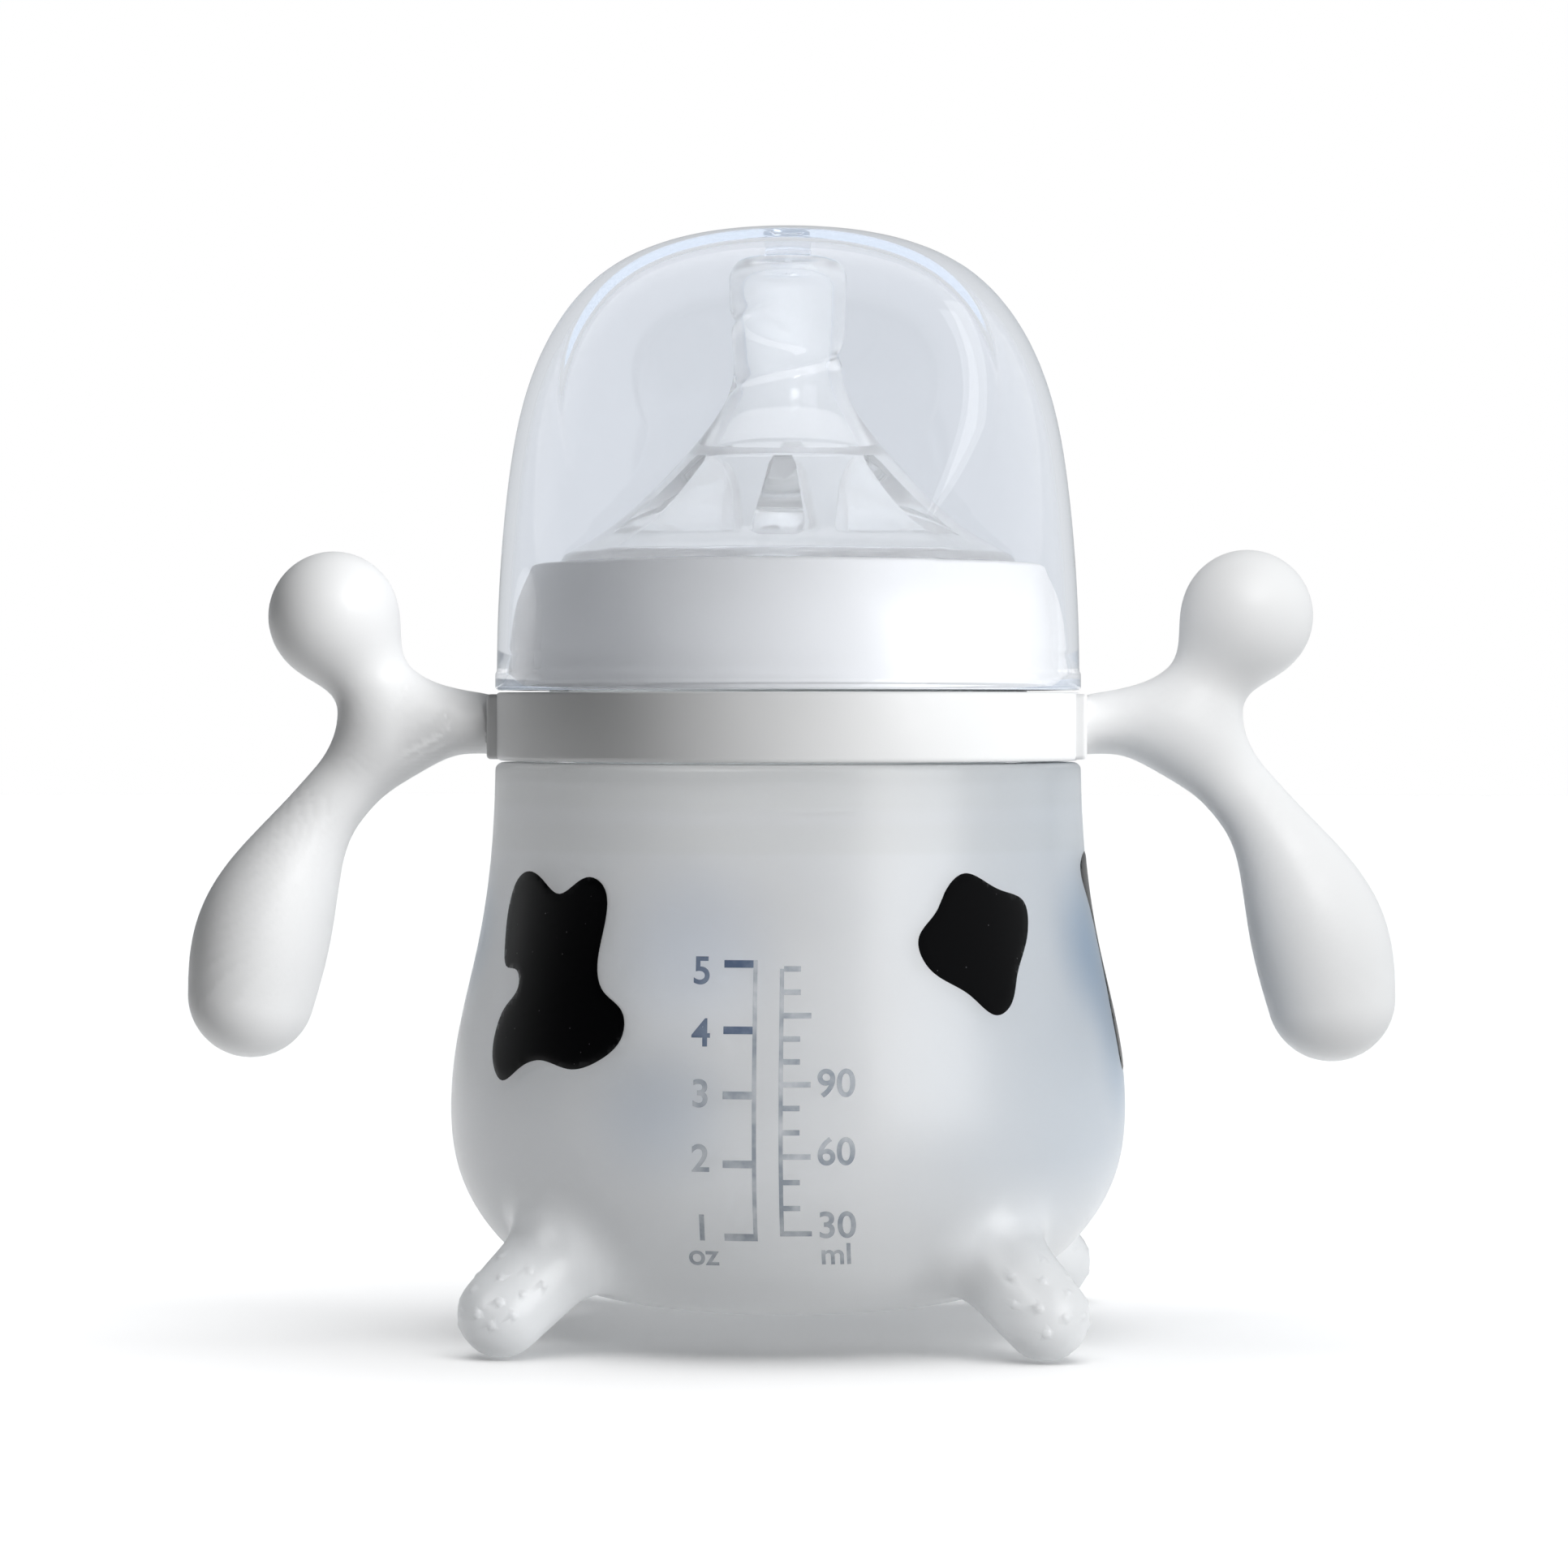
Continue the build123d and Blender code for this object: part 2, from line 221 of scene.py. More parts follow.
def ball_cloud(name, balls, detail):
    """One object holding a small ball at each (x, y, z, radius)."""
    bm = bmesh.new()
    for x, y, z, radius in balls:
        made = bmesh.ops.create_icosphere(bm, subdivisions=detail, radius=radius * MM)
        bmesh.ops.translate(bm, verts=made["verts"], vec=Vector((x, y, z)) * MM)
    mesh = bpy.data.meshes.new(name)
    bm.to_mesh(mesh)
    bm.free()
    obj = bpy.data.objects.new(name, mesh)
    bpy.context.scene.collection.objects.link(obj)
    return obj


def pull_onto(p, distance, times):
    """Points moved along the slope onto the zero level of a distance function."""
    for _ in range(times):
        value, slope = distance(p)
        p = p - (value / np.maximum((slope ** 2).sum(axis=1), 0.3))[:, None] * slope
    return p


def shrink_onto(obj, distance, voxel, rounds):
    """Remesh the object and pull its points onto the zero level of a distance function."""
    remesh = obj.modifiers.new("remesh", "REMESH")
    remesh.mode = "VOXEL"
    remesh.voxel_size = voxel * MM
    bpy.context.view_layer.update()
    apply_modifiers(obj)
    mesh = obj.data
    p = read_points(mesh)
    edges = np.empty(len(mesh.edges) * 2, int)
    mesh.edges.foreach_get("vertices", edges)
    edges = edges.reshape(-1, 2)
    links = np.bincount(edges.ravel(), minlength=len(p))[:, None]
    for turn in range(rounds):
        if turn < rounds - 1:
            total = np.column_stack([
                np.bincount(edges[:, 0], weights=p[edges[:, 1], k], minlength=len(p))
                + np.bincount(edges[:, 1], weights=p[edges[:, 0], k], minlength=len(p)) for k in range(3)
            ])
            p = p + 0.5 * (total / links - p)
        p = pull_onto(p, distance, 2)
    write_points(mesh, p)
    mesh.shade_smooth()


def read_points(mesh):
    """Points of a mesh in millimetres."""
    flat = np.empty(len(mesh.vertices) * 3)
    mesh.vertices.foreach_get("co", flat)
    return flat.reshape(-1, 3) / MM


def write_points(mesh, p):
    """Move a mesh's points to places in millimetres."""
    mesh.vertices.foreach_set("co", (p * MM).ravel())
    mesh.update()


def true_normals(mesh, distance, tolerance=0.02):
    """Shade points that lie on the distance function's surface with its own normals."""
    p = read_points(mesh)
    value, slope = distance(p)
    slope = slope / np.maximum(np.linalg.norm(slope, axis=1), 1e-9)[:, None]
    plain = np.empty(len(p) * 3)
    mesh.vertex_normals.foreach_get("vector", plain)
    plain = plain.reshape(-1, 3)
    on = (np.abs(value) < tolerance) & ((plain * slope).sum(axis=1) > 0.7)
    mesh.normals_split_custom_set_from_vertices(np.where(on[:, None], slope, plain))


# Distances come as (value, direction of growth) for every point.
def soft_union(a, b, k):
    """Smaller of two distances with a fillet about k wide where they meet."""
    h = np.clip(0.5 + 0.5 * (b[0] - a[0]) / k, 0, 1)
    value = b[0] * (1 - h) + a[0] * h - k * h * (1 - h)
    return value, b[1] * (1 - h)[:, None] + a[1] * h[:, None]


def tapered(p, a, b, ra, rb):
    """Distance to a bar from a to b whose radius runs from ra to rb."""
    a = np.array(a, float)
    d = np.array(b, float) - a
    t = np.clip(((p - a) @ d) / (d @ d), 0, 1)
    away = p - a - t[:, None] * d
    reach = np.linalg.norm(away, axis=1)
    slope = away / np.maximum(reach, 1e-9)[:, None]
    inside = (t > 0) & (t < 1)
    slope = slope - np.where(inside, (rb - ra) / (d @ d), 0)[:, None] * d
    return reach - (ra + (rb - ra) * t), slope


# ------------------------------------------------------------------ material nodes
def new_material(name, **sockets):
    """Material whose shader sockets are set by name, with _ for a space."""
    mat = bpy.data.materials.new(name)
    mat.use_nodes = True
    shader = mat.node_tree.nodes["Principled BSDF"]
    for key, value in sockets.items():
        shader.inputs[key.replace("_", " ")].default_value = value
    return mat, mat.node_tree, shader


def feed(tree, socket, value):
    """Link another node's output to the socket, or set it to a plain value."""
    if isinstance(value, bpy.types.NodeSocket):
        tree.links.new(value, socket)
    else:
        socket.default_value = value


def add_node(tree, kind, **values):
    """Node with its settings and sockets given by name."""
    node = tree.nodes.new(kind)
    for key, value in values.items():
        if key in node.bl_rna.properties:
            setattr(node, key, value)
        else:
            feed(tree, node.inputs[key], value)
    return node


def maths(tree, operation, a, b):
    node = add_node(tree, "ShaderNodeMath", operation=operation)
    feed(tree, node.inputs[0], a)
    feed(tree, node.inputs[1], b)
    return node.outputs["Value"]


def vector_maths(tree, operation, a, b, result="Vector"):
    node = add_node(tree, "ShaderNodeVectorMath", operation=operation)
    feed(tree, node.inputs[0], a)
    feed(tree, node.inputs["Scale" if operation == "SCALE" else 1], b)
    return node.outputs[result]


def rising(tree, source, low, high, bottom=0.0, top=1.0, curve="LINEAR"):
    """Value that runs from bottom to top while the source runs from low to high."""
    node = add_node(tree, "ShaderNodeMapRange", interpolation_type=curve, Value=source,
                    **{"From Min": low, "From Max": high, "To Min": bottom, "To Max": top})
    return node.outputs["Result"]


def ramp(tree, source, stops):
    """Colour looked up from (place, colour) stops."""
    node = add_node(tree, "ShaderNodeValToRGB", Fac=source)
    while len(node.color_ramp.elements) < len(stops):
        node.color_ramp.elements.new(1.0)
    for element, (place, colour) in zip(node.color_ramp.elements, stops):
        element.position = place
        element.color = (*colour, 1.0)
    return node.outputs["Color"]


def tinted(tree, colour, share, tint):
    """Colour multiplied by a tint where share is 1."""
    node = add_node(tree, "ShaderNodeMix", data_type="RGBA", blend_type="MULTIPLY", Factor=share)
    first, second = node.inputs[6], node.inputs[7]
    feed(tree, first, colour)
    feed(tree, second, (*tint, 1.0))
    return node.outputs[2]


def object_space(tree):
    return tree.nodes.new("ShaderNodeTexCoord").outputs["Object"]


def split_space(tree):
    """X, Y and Z of the object's own space."""
    return add_node(tree, "ShaderNodeSeparateXYZ", Vector=object_space(tree)).outputs


def noise(tree, scale, detail):
    node = add_node(tree, "ShaderNodeTexNoise", Scale=scale, Detail=detail, Roughness=0.55,
                    Vector=object_space(tree))
    return node.outputs["Fac"]


def bump(tree, shader, height, strength, distance):
    node = add_node(tree, "ShaderNodeBump", Strength=strength, Distance=distance, Height=height)
    feed(tree, shader.inputs["Normal"], node.outputs["Normal"])


def grey(v):
    return (v, v, v)


# ------------------------------------------------------------------ materials
def moulded_white(name, colour, roughness, grain, depth):
    """White moulded plastic: faint mottling, a fine surface grain, soft sheen."""
    mat, tree, shader = new_material(
        name, Base_Color=(*colour, 1.0), Roughness=roughness, IOR=1.49,
        Subsurface_Weight=0.08, Subsurface_Radius=(2 * MM, 2 * MM, 2 * MM), Subsurface_Scale=1.0,
    )
    mottling = [(0.3, tuple(c * 0.975 for c in colour)), (0.7, colour)]
    feed(tree, shader.inputs["Base Color"], ramp(tree, noise(tree, 60.0, 2.0), mottling))
    sheen = [(0.3, grey(roughness * 0.9)), (0.7, grey(roughness * 1.1))]
    feed(tree, shader.inputs["Roughness"], ramp(tree, noise(tree, 240.0, 2.0), sheen))
    bump(tree, shader, noise(tree, grain, 2.0), 0.25, depth)
    return mat


def clear(name, tint, roughness, ior, wave_scale, wave_depth):
    """Clear plastic, silicone or glass with very slight flow marks in its surface."""
    mat, tree, shader = new_material(
        name, Base_Color=(*tint, 1.0), Roughness=roughness, IOR=ior, Transmission_Weight=1.0,
    )
    bump(tree, shader, noise(tree, wave_scale, 1.0), 0.3, wave_depth)
    return mat


def let_out(mat, bounces, tint):
    """Light caught between the two faces of a clear wall leaves it after some bounces."""
    tree = mat.node_tree
    output = next(n for n in tree.nodes if n.bl_idname == "ShaderNodeOutputMaterial")
    ray = tree.nodes.new("ShaderNodeLightPath")
    caught = maths(tree, "GREATER_THAN", ray.outputs["Ray Depth"], bounces)
    open_way = add_node(tree, "ShaderNodeBsdfTransparent", Color=(*tint, 1.0))
    either = add_node(tree, "ShaderNodeMixShader", Fac=caught)
    feed(tree, either.inputs[1], tree.nodes["Principled BSDF"].outputs["BSDF"])
    feed(tree, either.inputs[2], open_way.outputs["BSDF"])
    feed(tree, output.inputs["Surface"], either.outputs["Shader"])


def teat_silicone():
    """Milky clear silicone; the nipple's inner wall has a painted blue shade where it is seen edge on."""
    plain = (0.985, 0.992, 1.0)
    edge_shade_blue = (0.12, 0.38, 0.66)
    mat = clear("teat_silicone", plain, 0.07, 1.35, 160.0, 0.05 * MM)
    tree = mat.node_tree
    shader = tree.nodes["Principled BSDF"]
    shader.inputs["Transmission Weight"].default_value = 0.78
    place = split_space(tree)
    flat_place = add_node(tree, "ShaderNodeCombineXYZ", X=place["X"], Y=place["Y"])
    from_axis = vector_maths(tree, "DISTANCE", flat_place.outputs["Vector"], (0, 0, 0), "Value")
    inner_wall = rising(tree, from_axis, 6.1 * MM, 5.7 * MM)
    # Painted shade: the inner wall is painted blue where it is seen edge on.
    edge_on = add_node(tree, "ShaderNodeLayerWeight", Blend=0.5)
    edge_share = rising(tree, edge_on.outputs["Facing"], 0.72, 0.97)
    edge_shade_share = maths(tree, "MULTIPLY", inner_wall, edge_share)
    feed(tree, shader.inputs["Base Color"], ramp(tree, edge_shade_share, [(0.0, plain), (1.0, edge_shade_blue)]))
    return mat


def frosted_silicone():
    """Frosted silicone with painted shade (soft dark clouds where spots show through, faint shoulder bands, a
    darker right side) and whiter solid feet.
    """
    mat, tree, shader = new_material(
        "frosted_silicone", Base_Color=(0.92, 0.93, 0.94, 1.0), Roughness=0.3, IOR=1.41,
        Transmission_Weight=0.5,
    )
    colour = ramp(tree, noise(tree, 35.0, 3.0), [(0.3, (0.90, 0.915, 0.93)), (0.7, (0.93, 0.94, 0.95))])

    # Painted shade: the far spots and the wrapped edges of the side ones, seen through the wall, are painted
    # into its colour as soft dark clouds.
    for centre, reach, tint in (
        ((-9.0, -36.0, 46.0), 13.0, (0.86, 0.89, 0.94)),
        ((-12.0, -36.0, 28.0), 11.0, (0.87, 0.90, 0.94)),
        ((37.0, -7.5, 45.0), 14.0, (0.44, 0.57, 0.71)),
        ((38.5, -4.5, 33.0), 12.0, (0.62, 0.72, 0.82)),
        ((-35.0, -6.0, 46.0), 11.0, (0.80, 0.86, 0.92)),
    ):
        middle = tuple(c * MM for c in centre)
        away = vector_maths(tree, "DISTANCE", object_space(tree), middle, "Value")
        share = rising(tree, away, reach * MM, 0.1 * reach * MM, curve="SMOOTHSTEP")
        colour = tinted(tree, colour, share, tint)

    # Painted shade: the body above the feet, where the bottle sits inside, is painted a little darker, and
    # darker still to the right; the solid feet stay white.
    place = split_space(tree)
    sideways = rising(tree, place["X"], 12.0 * MM, 39.0 * MM)
    above_feet = rising(tree, place["Z"], 10.0 * MM, 22.0 * MM)
    colour = tinted(tree, colour, above_feet, (0.95, 0.95, 0.955))
    colour = tinted(tree, colour, maths(tree, "MULTIPLY", sideways, above_feet), (0.83, 0.88, 0.93))
    feed(tree, shader.inputs["Transmission Weight"], rising(tree, above_feet, 0.0, 1.0, 0.4, 0.5))

    # Painted shade: faint bands under the sleeve's top stand in for the bottle's shoulder seen through it.
    shoulder_shade_bands = ramp(tree, rising(tree, place["Z"], 54.0 * MM, 66.4 * MM), [
        (0.0, grey(0.0)), (0.17, grey(0.0)), (0.22, grey(0.55)), (0.42, grey(0.35)), (0.5, grey(0.0)),
        (0.56, grey(0.05)), (0.64, grey(0.6)), (0.8, grey(0.35)), (1.0, grey(1.0)),
    ])
    feed(tree, shader.inputs["Base Color"], tinted(tree, colour, shoulder_shade_bands, (0.95, 0.95, 0.935)))
    bump(tree, shader, noise(tree, 2500.0, 2.0), 0.2, 0.02 * MM)
    return mat


def cow_black():
    """Smooth black silicone with a few pale specks of dust."""
    black = (0.004, 0.004, 0.005)
    mat, tree, shader = new_material(
        "cow_black", Base_Color=(*black, 1.0), Roughness=0.3, IOR=1.45, Specular_IOR_Level=0.12,
    )
    dust = add_node(tree, "ShaderNodeTexVoronoi", Scale=620.0, Vector=object_space(tree))
    specks = [(0.0, (0.30, 0.30, 0.32)), (0.045, (0.05, 0.05, 0.055)), (0.075, black)]
    feed(tree, shader.inputs["Base Color"], ramp(tree, dust.outputs["Distance"], specks))
    bump(tree, shader, noise(tree, 900.0, 2.0), 0.15, 0.02 * MM)
    return mat


def ink(name, dark, light):
    """Worn grey-blue ink as it shows through the silicone."""
    mat, tree, shader = new_material(
        name, Base_Color=(*dark, 1.0), Roughness=0.6, Specular_IOR_Level=0.2,
    )
    feed(tree, shader.inputs["Base Color"], ramp(tree, noise(tree, 420.0, 3.0), [(0.35, dark), (0.7, light)]))
    return mat


white_satin = moulded_white("white_satin", (0.88, 0.885, 0.89), 0.5, 5000.0, 0.02 * MM)
white_gloss = moulded_white("white_gloss", (0.86, 0.865, 0.87), 0.40, 3000.0, 0.01 * MM)
cap_clear = clear("cap_clear", (0.955, 0.967, 0.993), 0.02, 1.43, 90.0, 0.02 * MM)
let_out(cap_clear, 8.5, (0.88, 0.91, 0.95))
teat_clear = teat_silicone()
bottle_clear = clear("bottle_glass", (0.97, 0.985, 0.99), 0.01, 1.47, 50.0, 0.01 * MM)
sleeve_mat = frosted_silicone()
spot_mat = cow_black()
ink_dark = ink("scale_ink_dark", (0.07, 0.10, 0.17), (0.17, 0.21, 0.28))
ink_pale = ink("scale_ink_pale", (0.26, 0.29, 0.33), (0.50, 0.52, 0.55))


def finish_piece(obj, material, body, slot, *nodes):
    """Give a piece its material, the body it rides and the CAD nodes it replaces; the slot argument is not
    used.
    """
    obj.data.materials.clear()
    obj.data.materials.append(material)
    obj.visible_shadow = material not in (cap_clear, teat_clear, bottle_clear)
    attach(obj, body)
    if nodes:
        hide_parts(*nodes)


# ------------------------------------------------------------------ sizes shared with the CAD
sleeve_curve = [
    (0, 2.3), (17.0, 3.3), (28.2, 6.4), (34.9, 12.0), (38.5, 18.6),
    (39.5, 25.5), (38.8, 33.9), (36.3, 45.3), (34.7, 56.7), (34.3, 65.4),
]
bottle_curve = [
    (0, 4.1), (16.8, 5.1), (27.4, 8.0), (33.4, 13.1), (36.8, 19.2),
    (37.7, 25.5), (37.0, 33.6), (34.5, 45.0), (32.9, 56.0),
]
cavity_curve = [
    (0, 6.3), (16.5, 7.2), (26.6, 9.8), (32.0, 14.4), (35.1, 19.9),
    (35.9, 25.5), (35.2, 33.3), (32.7, 44.7), (31.1, 55.6),
]
NECK_R = 28.0
NECK_BORE = 25.8
RIM_Z = 87.0
SHOULDER_Z = 62.5
PITCH = 5.0

sleeve_line = smooth_curve(sleeve_curve, 240, start=(1, 0), end=(-0.02, 1))
bottle_line = smooth_curve(bottle_curve, 200, start=(1, 0), end=(-0.1, 1))


def skin_radius(z):
    """Outer radius of the sleeve at a height on its side."""
    side = sleeve_line[80:]
    return np.interp(z, side[:, 1], side[:, 0])


# ------------------------------------------------------------------ sleeve with its four feet
FOOT_TIP_R = 4.94
FOOT_TIP_RHO = 43.1
FOOT_TIP_Z = 4.8
FOOT_ROOT_R = 6.0
FOOT_TILT = math.radians(36.0)
FOOT_LENGTH = 19.0
FOOT_FILLET = 5.0
FOOT_REACH = 15.0
FOOT_ZONE_R = 14.0
FOOT_ZONE_Z = 27.0
FOOT_TIP_SHARE = 0.30
FOOT_SHAFT_SHARE = 0.60
SLEEVE_TOP = 66.35
SLEEVE_MOUTH_R = 34.3
SIDE_TO = 65.0
EDGE_FROM = 65.2
SLEEVE_COLUMNS = 288
SLEEVE_GAP = 0.05
SETTLE_ROUNDS = 14
DOT_BALL_R = 0.95
DOT_HEIGHT = 0.14

edge = rounded_corners([(SLEEVE_MOUTH_R, 60.0, 0), (SLEEVE_MOUTH_R, SLEEVE_TOP, 0.9), (0, SLEEVE_TOP, 0)], 6)
edge = [q for q in edge if q[1] > EDGE_FROM]
side_line = [tuple(q) for q in sleeve_line if q[1] < SIDE_TO]
outer_line = np.array(side_line + edge)
foot_dirs = [math.radians(45 + 90 * k) for k in range(4)]


def foot_points(angle):
    """Centre of a foot's round tip, and the point inside the body where it starts."""
    tip = np.array((FOOT_TIP_RHO * math.cos(angle), FOOT_TIP_RHO * math.sin(angle), FOOT_TIP_Z))
    inward = np.array((-math.cos(FOOT_TILT) * math.cos(angle), -math.cos(FOOT_TILT) * math.sin(angle),
                       math.sin(FOOT_TILT)))
    return tip, tip + FOOT_LENGTH * inward


def body_distance(p):
    """Signed distance to the turned outline of the sleeve."""
    rho = np.hypot(p[:, 0], p[:, 1])
    q = np.stack([rho, p[:, 2]], axis=1)
    best = np.full(len(p), 1e9)
    signed = np.zeros(len(p))
    lean = np.zeros((len(p), 2))
    for a, b in zip(outer_line[:-1], outer_line[1:]):
        d = b - a
        length2 = d @ d
        if length2 < 1e-12:
            continue
        t = np.clip(((q - a) @ d) / length2, 0, 1)
        away = q - a - t[:, None] * d
        gap = (away ** 2).sum(axis=1)
        closer = gap < best
        best = np.where(closer, gap, best)
        normal = np.array((d[1], -d[0])) / math.sqrt(length2)
        signed = np.where(closer, np.copysign(np.sqrt(gap), away @ normal), signed)
        lean = np.where(closer[:, None], normal, lean)
    unit = p[:, :2] / np.maximum(rho, 1e-9)[:, None]
    return signed, np.column_stack([unit * lean[:, :1], lean[:, 1]])


def sleeve_distance(p):
    """Distance to the body with its four feet."""
    both = body_distance(p)
    for angle in foot_dirs:
        tip, root = foot_points(angle)
        foot = tapered(p, tip, root, FOOT_TIP_R, FOOT_ROOT_R)
        both = soft_union(both, foot, FOOT_FILLET)
    return both


def spaced(line, fine, coarse):
    """Points along a meridian: closely spaced round the feet, wider apart elsewhere."""
    length = run_lengths(line)
    places = [0.0]
    while places[-1] < length[-1] - coarse:
        r, z = (np.interp(places[-1], length, line[:, k]) for k in range(2))
        by_a_foot = r > FOOT_ZONE_R and z < FOOT_ZONE_Z
        places.append(places[-1] + (fine if by_a_foot else coarse))
    places.append(length[-1])
    r, z = (np.interp(places, length, line[:, k]) for k in range(2))
    return list(zip(r, z))


def grow_feet(net):
    """Carry the body's net round the root of each foot out over that foot."""
    p = net.reshape(-1, 3).copy()
    moved = np.zeros(len(p), bool)
    for angle in foot_dirs:
        tip, root = foot_points(angle)
        axis = (tip - root) / FOOT_LENGTH
        along = (p - tip) @ axis
        side = p - tip - along[:, None] * axis
        reach = np.linalg.norm(side, axis=1)
        u = reach / FOOT_REACH
        near = (u < 1) & (along > -30)
        on_tip = u < FOOT_TIP_SHARE
        on_foot = u < FOOT_SHAFT_SHARE
        turn = np.clip(u / FOOT_TIP_SHARE, 0, 1) * math.pi / 2
        down = np.clip((u - FOOT_TIP_SHARE) / (FOOT_SHAFT_SHARE - FOOT_TIP_SHARE), 0, 1)
        spread = np.clip((u - FOOT_SHAFT_SHARE) / (1 - FOOT_SHAFT_SHARE), 0, 1)
        radius = np.where(on_tip, FOOT_TIP_R * np.sin(turn), FOOT_TIP_R + (FOOT_ROOT_R - FOOT_TIP_R) * down)
        radius = np.where(on_foot, radius, FOOT_ROOT_R + (FOOT_REACH - FOOT_ROOT_R) * spread)
        height = np.where(on_tip, FOOT_TIP_R * np.cos(turn), along * down)
        out = tip + height[:, None] * axis + side * (radius / np.maximum(reach, 1e-9))[:, None]
        p = np.where(near[:, None], out, p)
        moved |= near
    moved_net = moved.reshape(net.shape[:2])
    moved_net[0] = False
    moved_net[-1] = False
    p = p.reshape(net.shape)
    for turn in range(SETTLE_ROUNDS):
        middle = (np.roll(p, 1, axis=1) + np.roll(p, -1, axis=1)
                  + np.roll(p, 1, axis=0) + np.roll(p, -1, axis=0)) / 4
        some = p[moved_net] + 0.5 * (middle[moved_net] - p[moved_net])
        p[moved_net] = pull_onto(some, sleeve_distance, 2 if turn < SETTLE_ROUNDS - 1 else 4)
    p[:, :, 2] = np.maximum(p[:, :, 2], 0.0)
    return p


outer_rows = spaced(np.array(side_line), 0.5, 1.2) + [q for q in edge if q[0] > 30]
lip_r = NECK_R + 0.1
lip_z = 64.3
inner_rows = [(lip_r, SLEEVE_TOP), (lip_r, lip_z), (32.0, lip_z), (32.5, 63.6), (32.9, 57.0)]
inner_rows += [(r + (SLEEVE_GAP if r > 0 else 0), z - SLEEVE_GAP) for r, z in bottle_line[::-2]]
inner_rows[-1] = (0, bottle_curve[0][1] - SLEEVE_GAP)
verts, faces = lathe_mesh(outer_rows + inner_rows, SLEEVE_COLUMNS)
verts = np.array(verts)
skin = slice(1, 1 + (len(outer_rows) - 1) * SLEEVE_COLUMNS)
verts[skin] = grow_feet(verts[skin].reshape(-1, SLEEVE_COLUMNS, 3)).reshape(-1, 3)
sleeve = outward(make_object("sleeve_skin", verts, faces, 50))


def foot_dots():
    """Balls sunk in the upper side of each foot, so that low grip dots stand out."""
    balls = []
    for angle in foot_dirs:
        tip, root = foot_points(angle)
        axis = (tip - root) / FOOT_LENGTH
        level = np.array((-math.sin(angle), math.cos(angle), 0))
        up = np.cross(axis, level)
        up *= math.copysign(1, up[2])
        for row, back in enumerate((-3.6, -1.4, 1.2, 3.8)):
            shift = 22 if row % 2 else 0
            for turn in (-75 + shift, -25 + shift, 25 + shift, 62 + shift / 2):
                a = math.radians(turn)
                side = math.cos(a) * up + math.sin(a) * level
                if back < 0:
                    lean = math.acos(-back / FOOT_TIP_R)
                    spot = tip + FOOT_TIP_R * (math.cos(lean) * axis + math.sin(lean) * side)
                    out = (spot - tip) / FOOT_TIP_R
                else:
                    r = FOOT_TIP_R + (FOOT_ROOT_R - FOOT_TIP_R) * back / FOOT_LENGTH
                    spot = tip - back * axis + r * side
                    out = side
                balls.append((*(spot - (DOT_BALL_R - DOT_HEIGHT) * out), DOT_BALL_R))
    return ball_cloud("foot_dots", balls, 3)


combine(sleeve, foot_dots(), "UNION")
shade_again(sleeve, 50)
finish_piece(sleeve, sleeve_mat, "bottle", "sleeve", "sleeve")


# ------------------------------------------------------------------ inner bottle
shoulder = smooth_curve([bottle_curve[-1], (31.2, 59.8), (NECK_R, SHOULDER_Z + 1.5)], 20, (-0.1, 1), (0, 1))
inner_knots = [(NECK_BORE, SHOULDER_Z), (29.3, 58.9), cavity_curve[-1]]
inner_shoulder = smooth_curve(inner_knots, 20, (0, -1), (0.1, -1))
cavity_line = smooth_curve(cavity_curve, 120, start=(1, 0), end=(-0.1, 1))
neck_z = 70.0
neck_wall = rounded_corners([
    (NECK_R, neck_z, 0), (NECK_R, RIM_Z, 0.8), (NECK_BORE, RIM_Z, 0.8), (NECK_BORE, neck_z, 0),
], 4)
bottle_outline = joined(bottle_line[::2], shoulder[1:], neck_wall, inner_shoulder[:-1], cavity_line[::-1])
bottle = lathe("bottle_body", bottle_outline)
finish_piece(bottle, bottle_clear, "bottle", "bottle_glass")


THREAD_Z = 77.0
THREAD_TURNS = 1.4
THREAD_DEPTH = 1.3


def thread_mesh(name, radius, depth, phase):
    """Helical thread whose ends run out into the wall; a negative depth faces inwards."""
    steps = 150
    run_out = 0.08
    verts = []
    for i in range(steps + 1):
        f = i / steps
        fade = min(1.0, f / run_out, (1 - f) / run_out)
        a = phase + 2 * math.pi * THREAD_TURNS * f
        z = THREAD_Z + PITCH * THREAD_TURNS * f
        for dr, dz in ((-0.3, -1.0), (fade, -0.45), (fade, 0.45), (-0.3, 1.0)):
            r = radius + (dr * depth if dr > 0 else dr * math.copysign(1, depth))
            verts.append((r * math.cos(a), r * math.sin(a), z + dz * (0.4 + 0.6 * fade)))
    return outward(make_object(name, verts, tube_faces(steps + 1, 4), 50))


neck_thread = thread_mesh("neck_thread", NECK_R, THREAD_DEPTH, 0.0)
finish_piece(neck_thread, bottle_clear, "bottle", "bottle_glass")
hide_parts("bottle")


# ------------------------------------------------------------------ printed scale
INK_LIFT = 0.017
BAR_STEP = 0.8
LETTER_STEP = 0.6
CAPITAL_SHARE = 0.7


def on_front(x, z):
    """Point on the silicone at the front, x to the side and z up."""
    r = float(skin_radius(z)) + INK_LIFT
    return (x, -math.sqrt(r * r - x * x), z)


def bar(x0, x1, z0, z1):
    """Flat ink bar bent to the front, cut into short pieces."""
    across = max(2, int(abs(x1 - x0) / BAR_STEP) + 1)
    up = max(2, int(abs(z1 - z0) / BAR_STEP) + 1)
    verts = [on_front(x0 + (x1 - x0) * i / (across - 1), z0 + (z1 - z0) * j / (up - 1))
             for j in range(up) for i in range(across)]
    faces = [(j * across + i, j * across + i + 1, (j + 1) * across + i + 1, (j + 1) * across + i)
             for j in range(up - 1) for i in range(across - 1)]
    return verts, faces


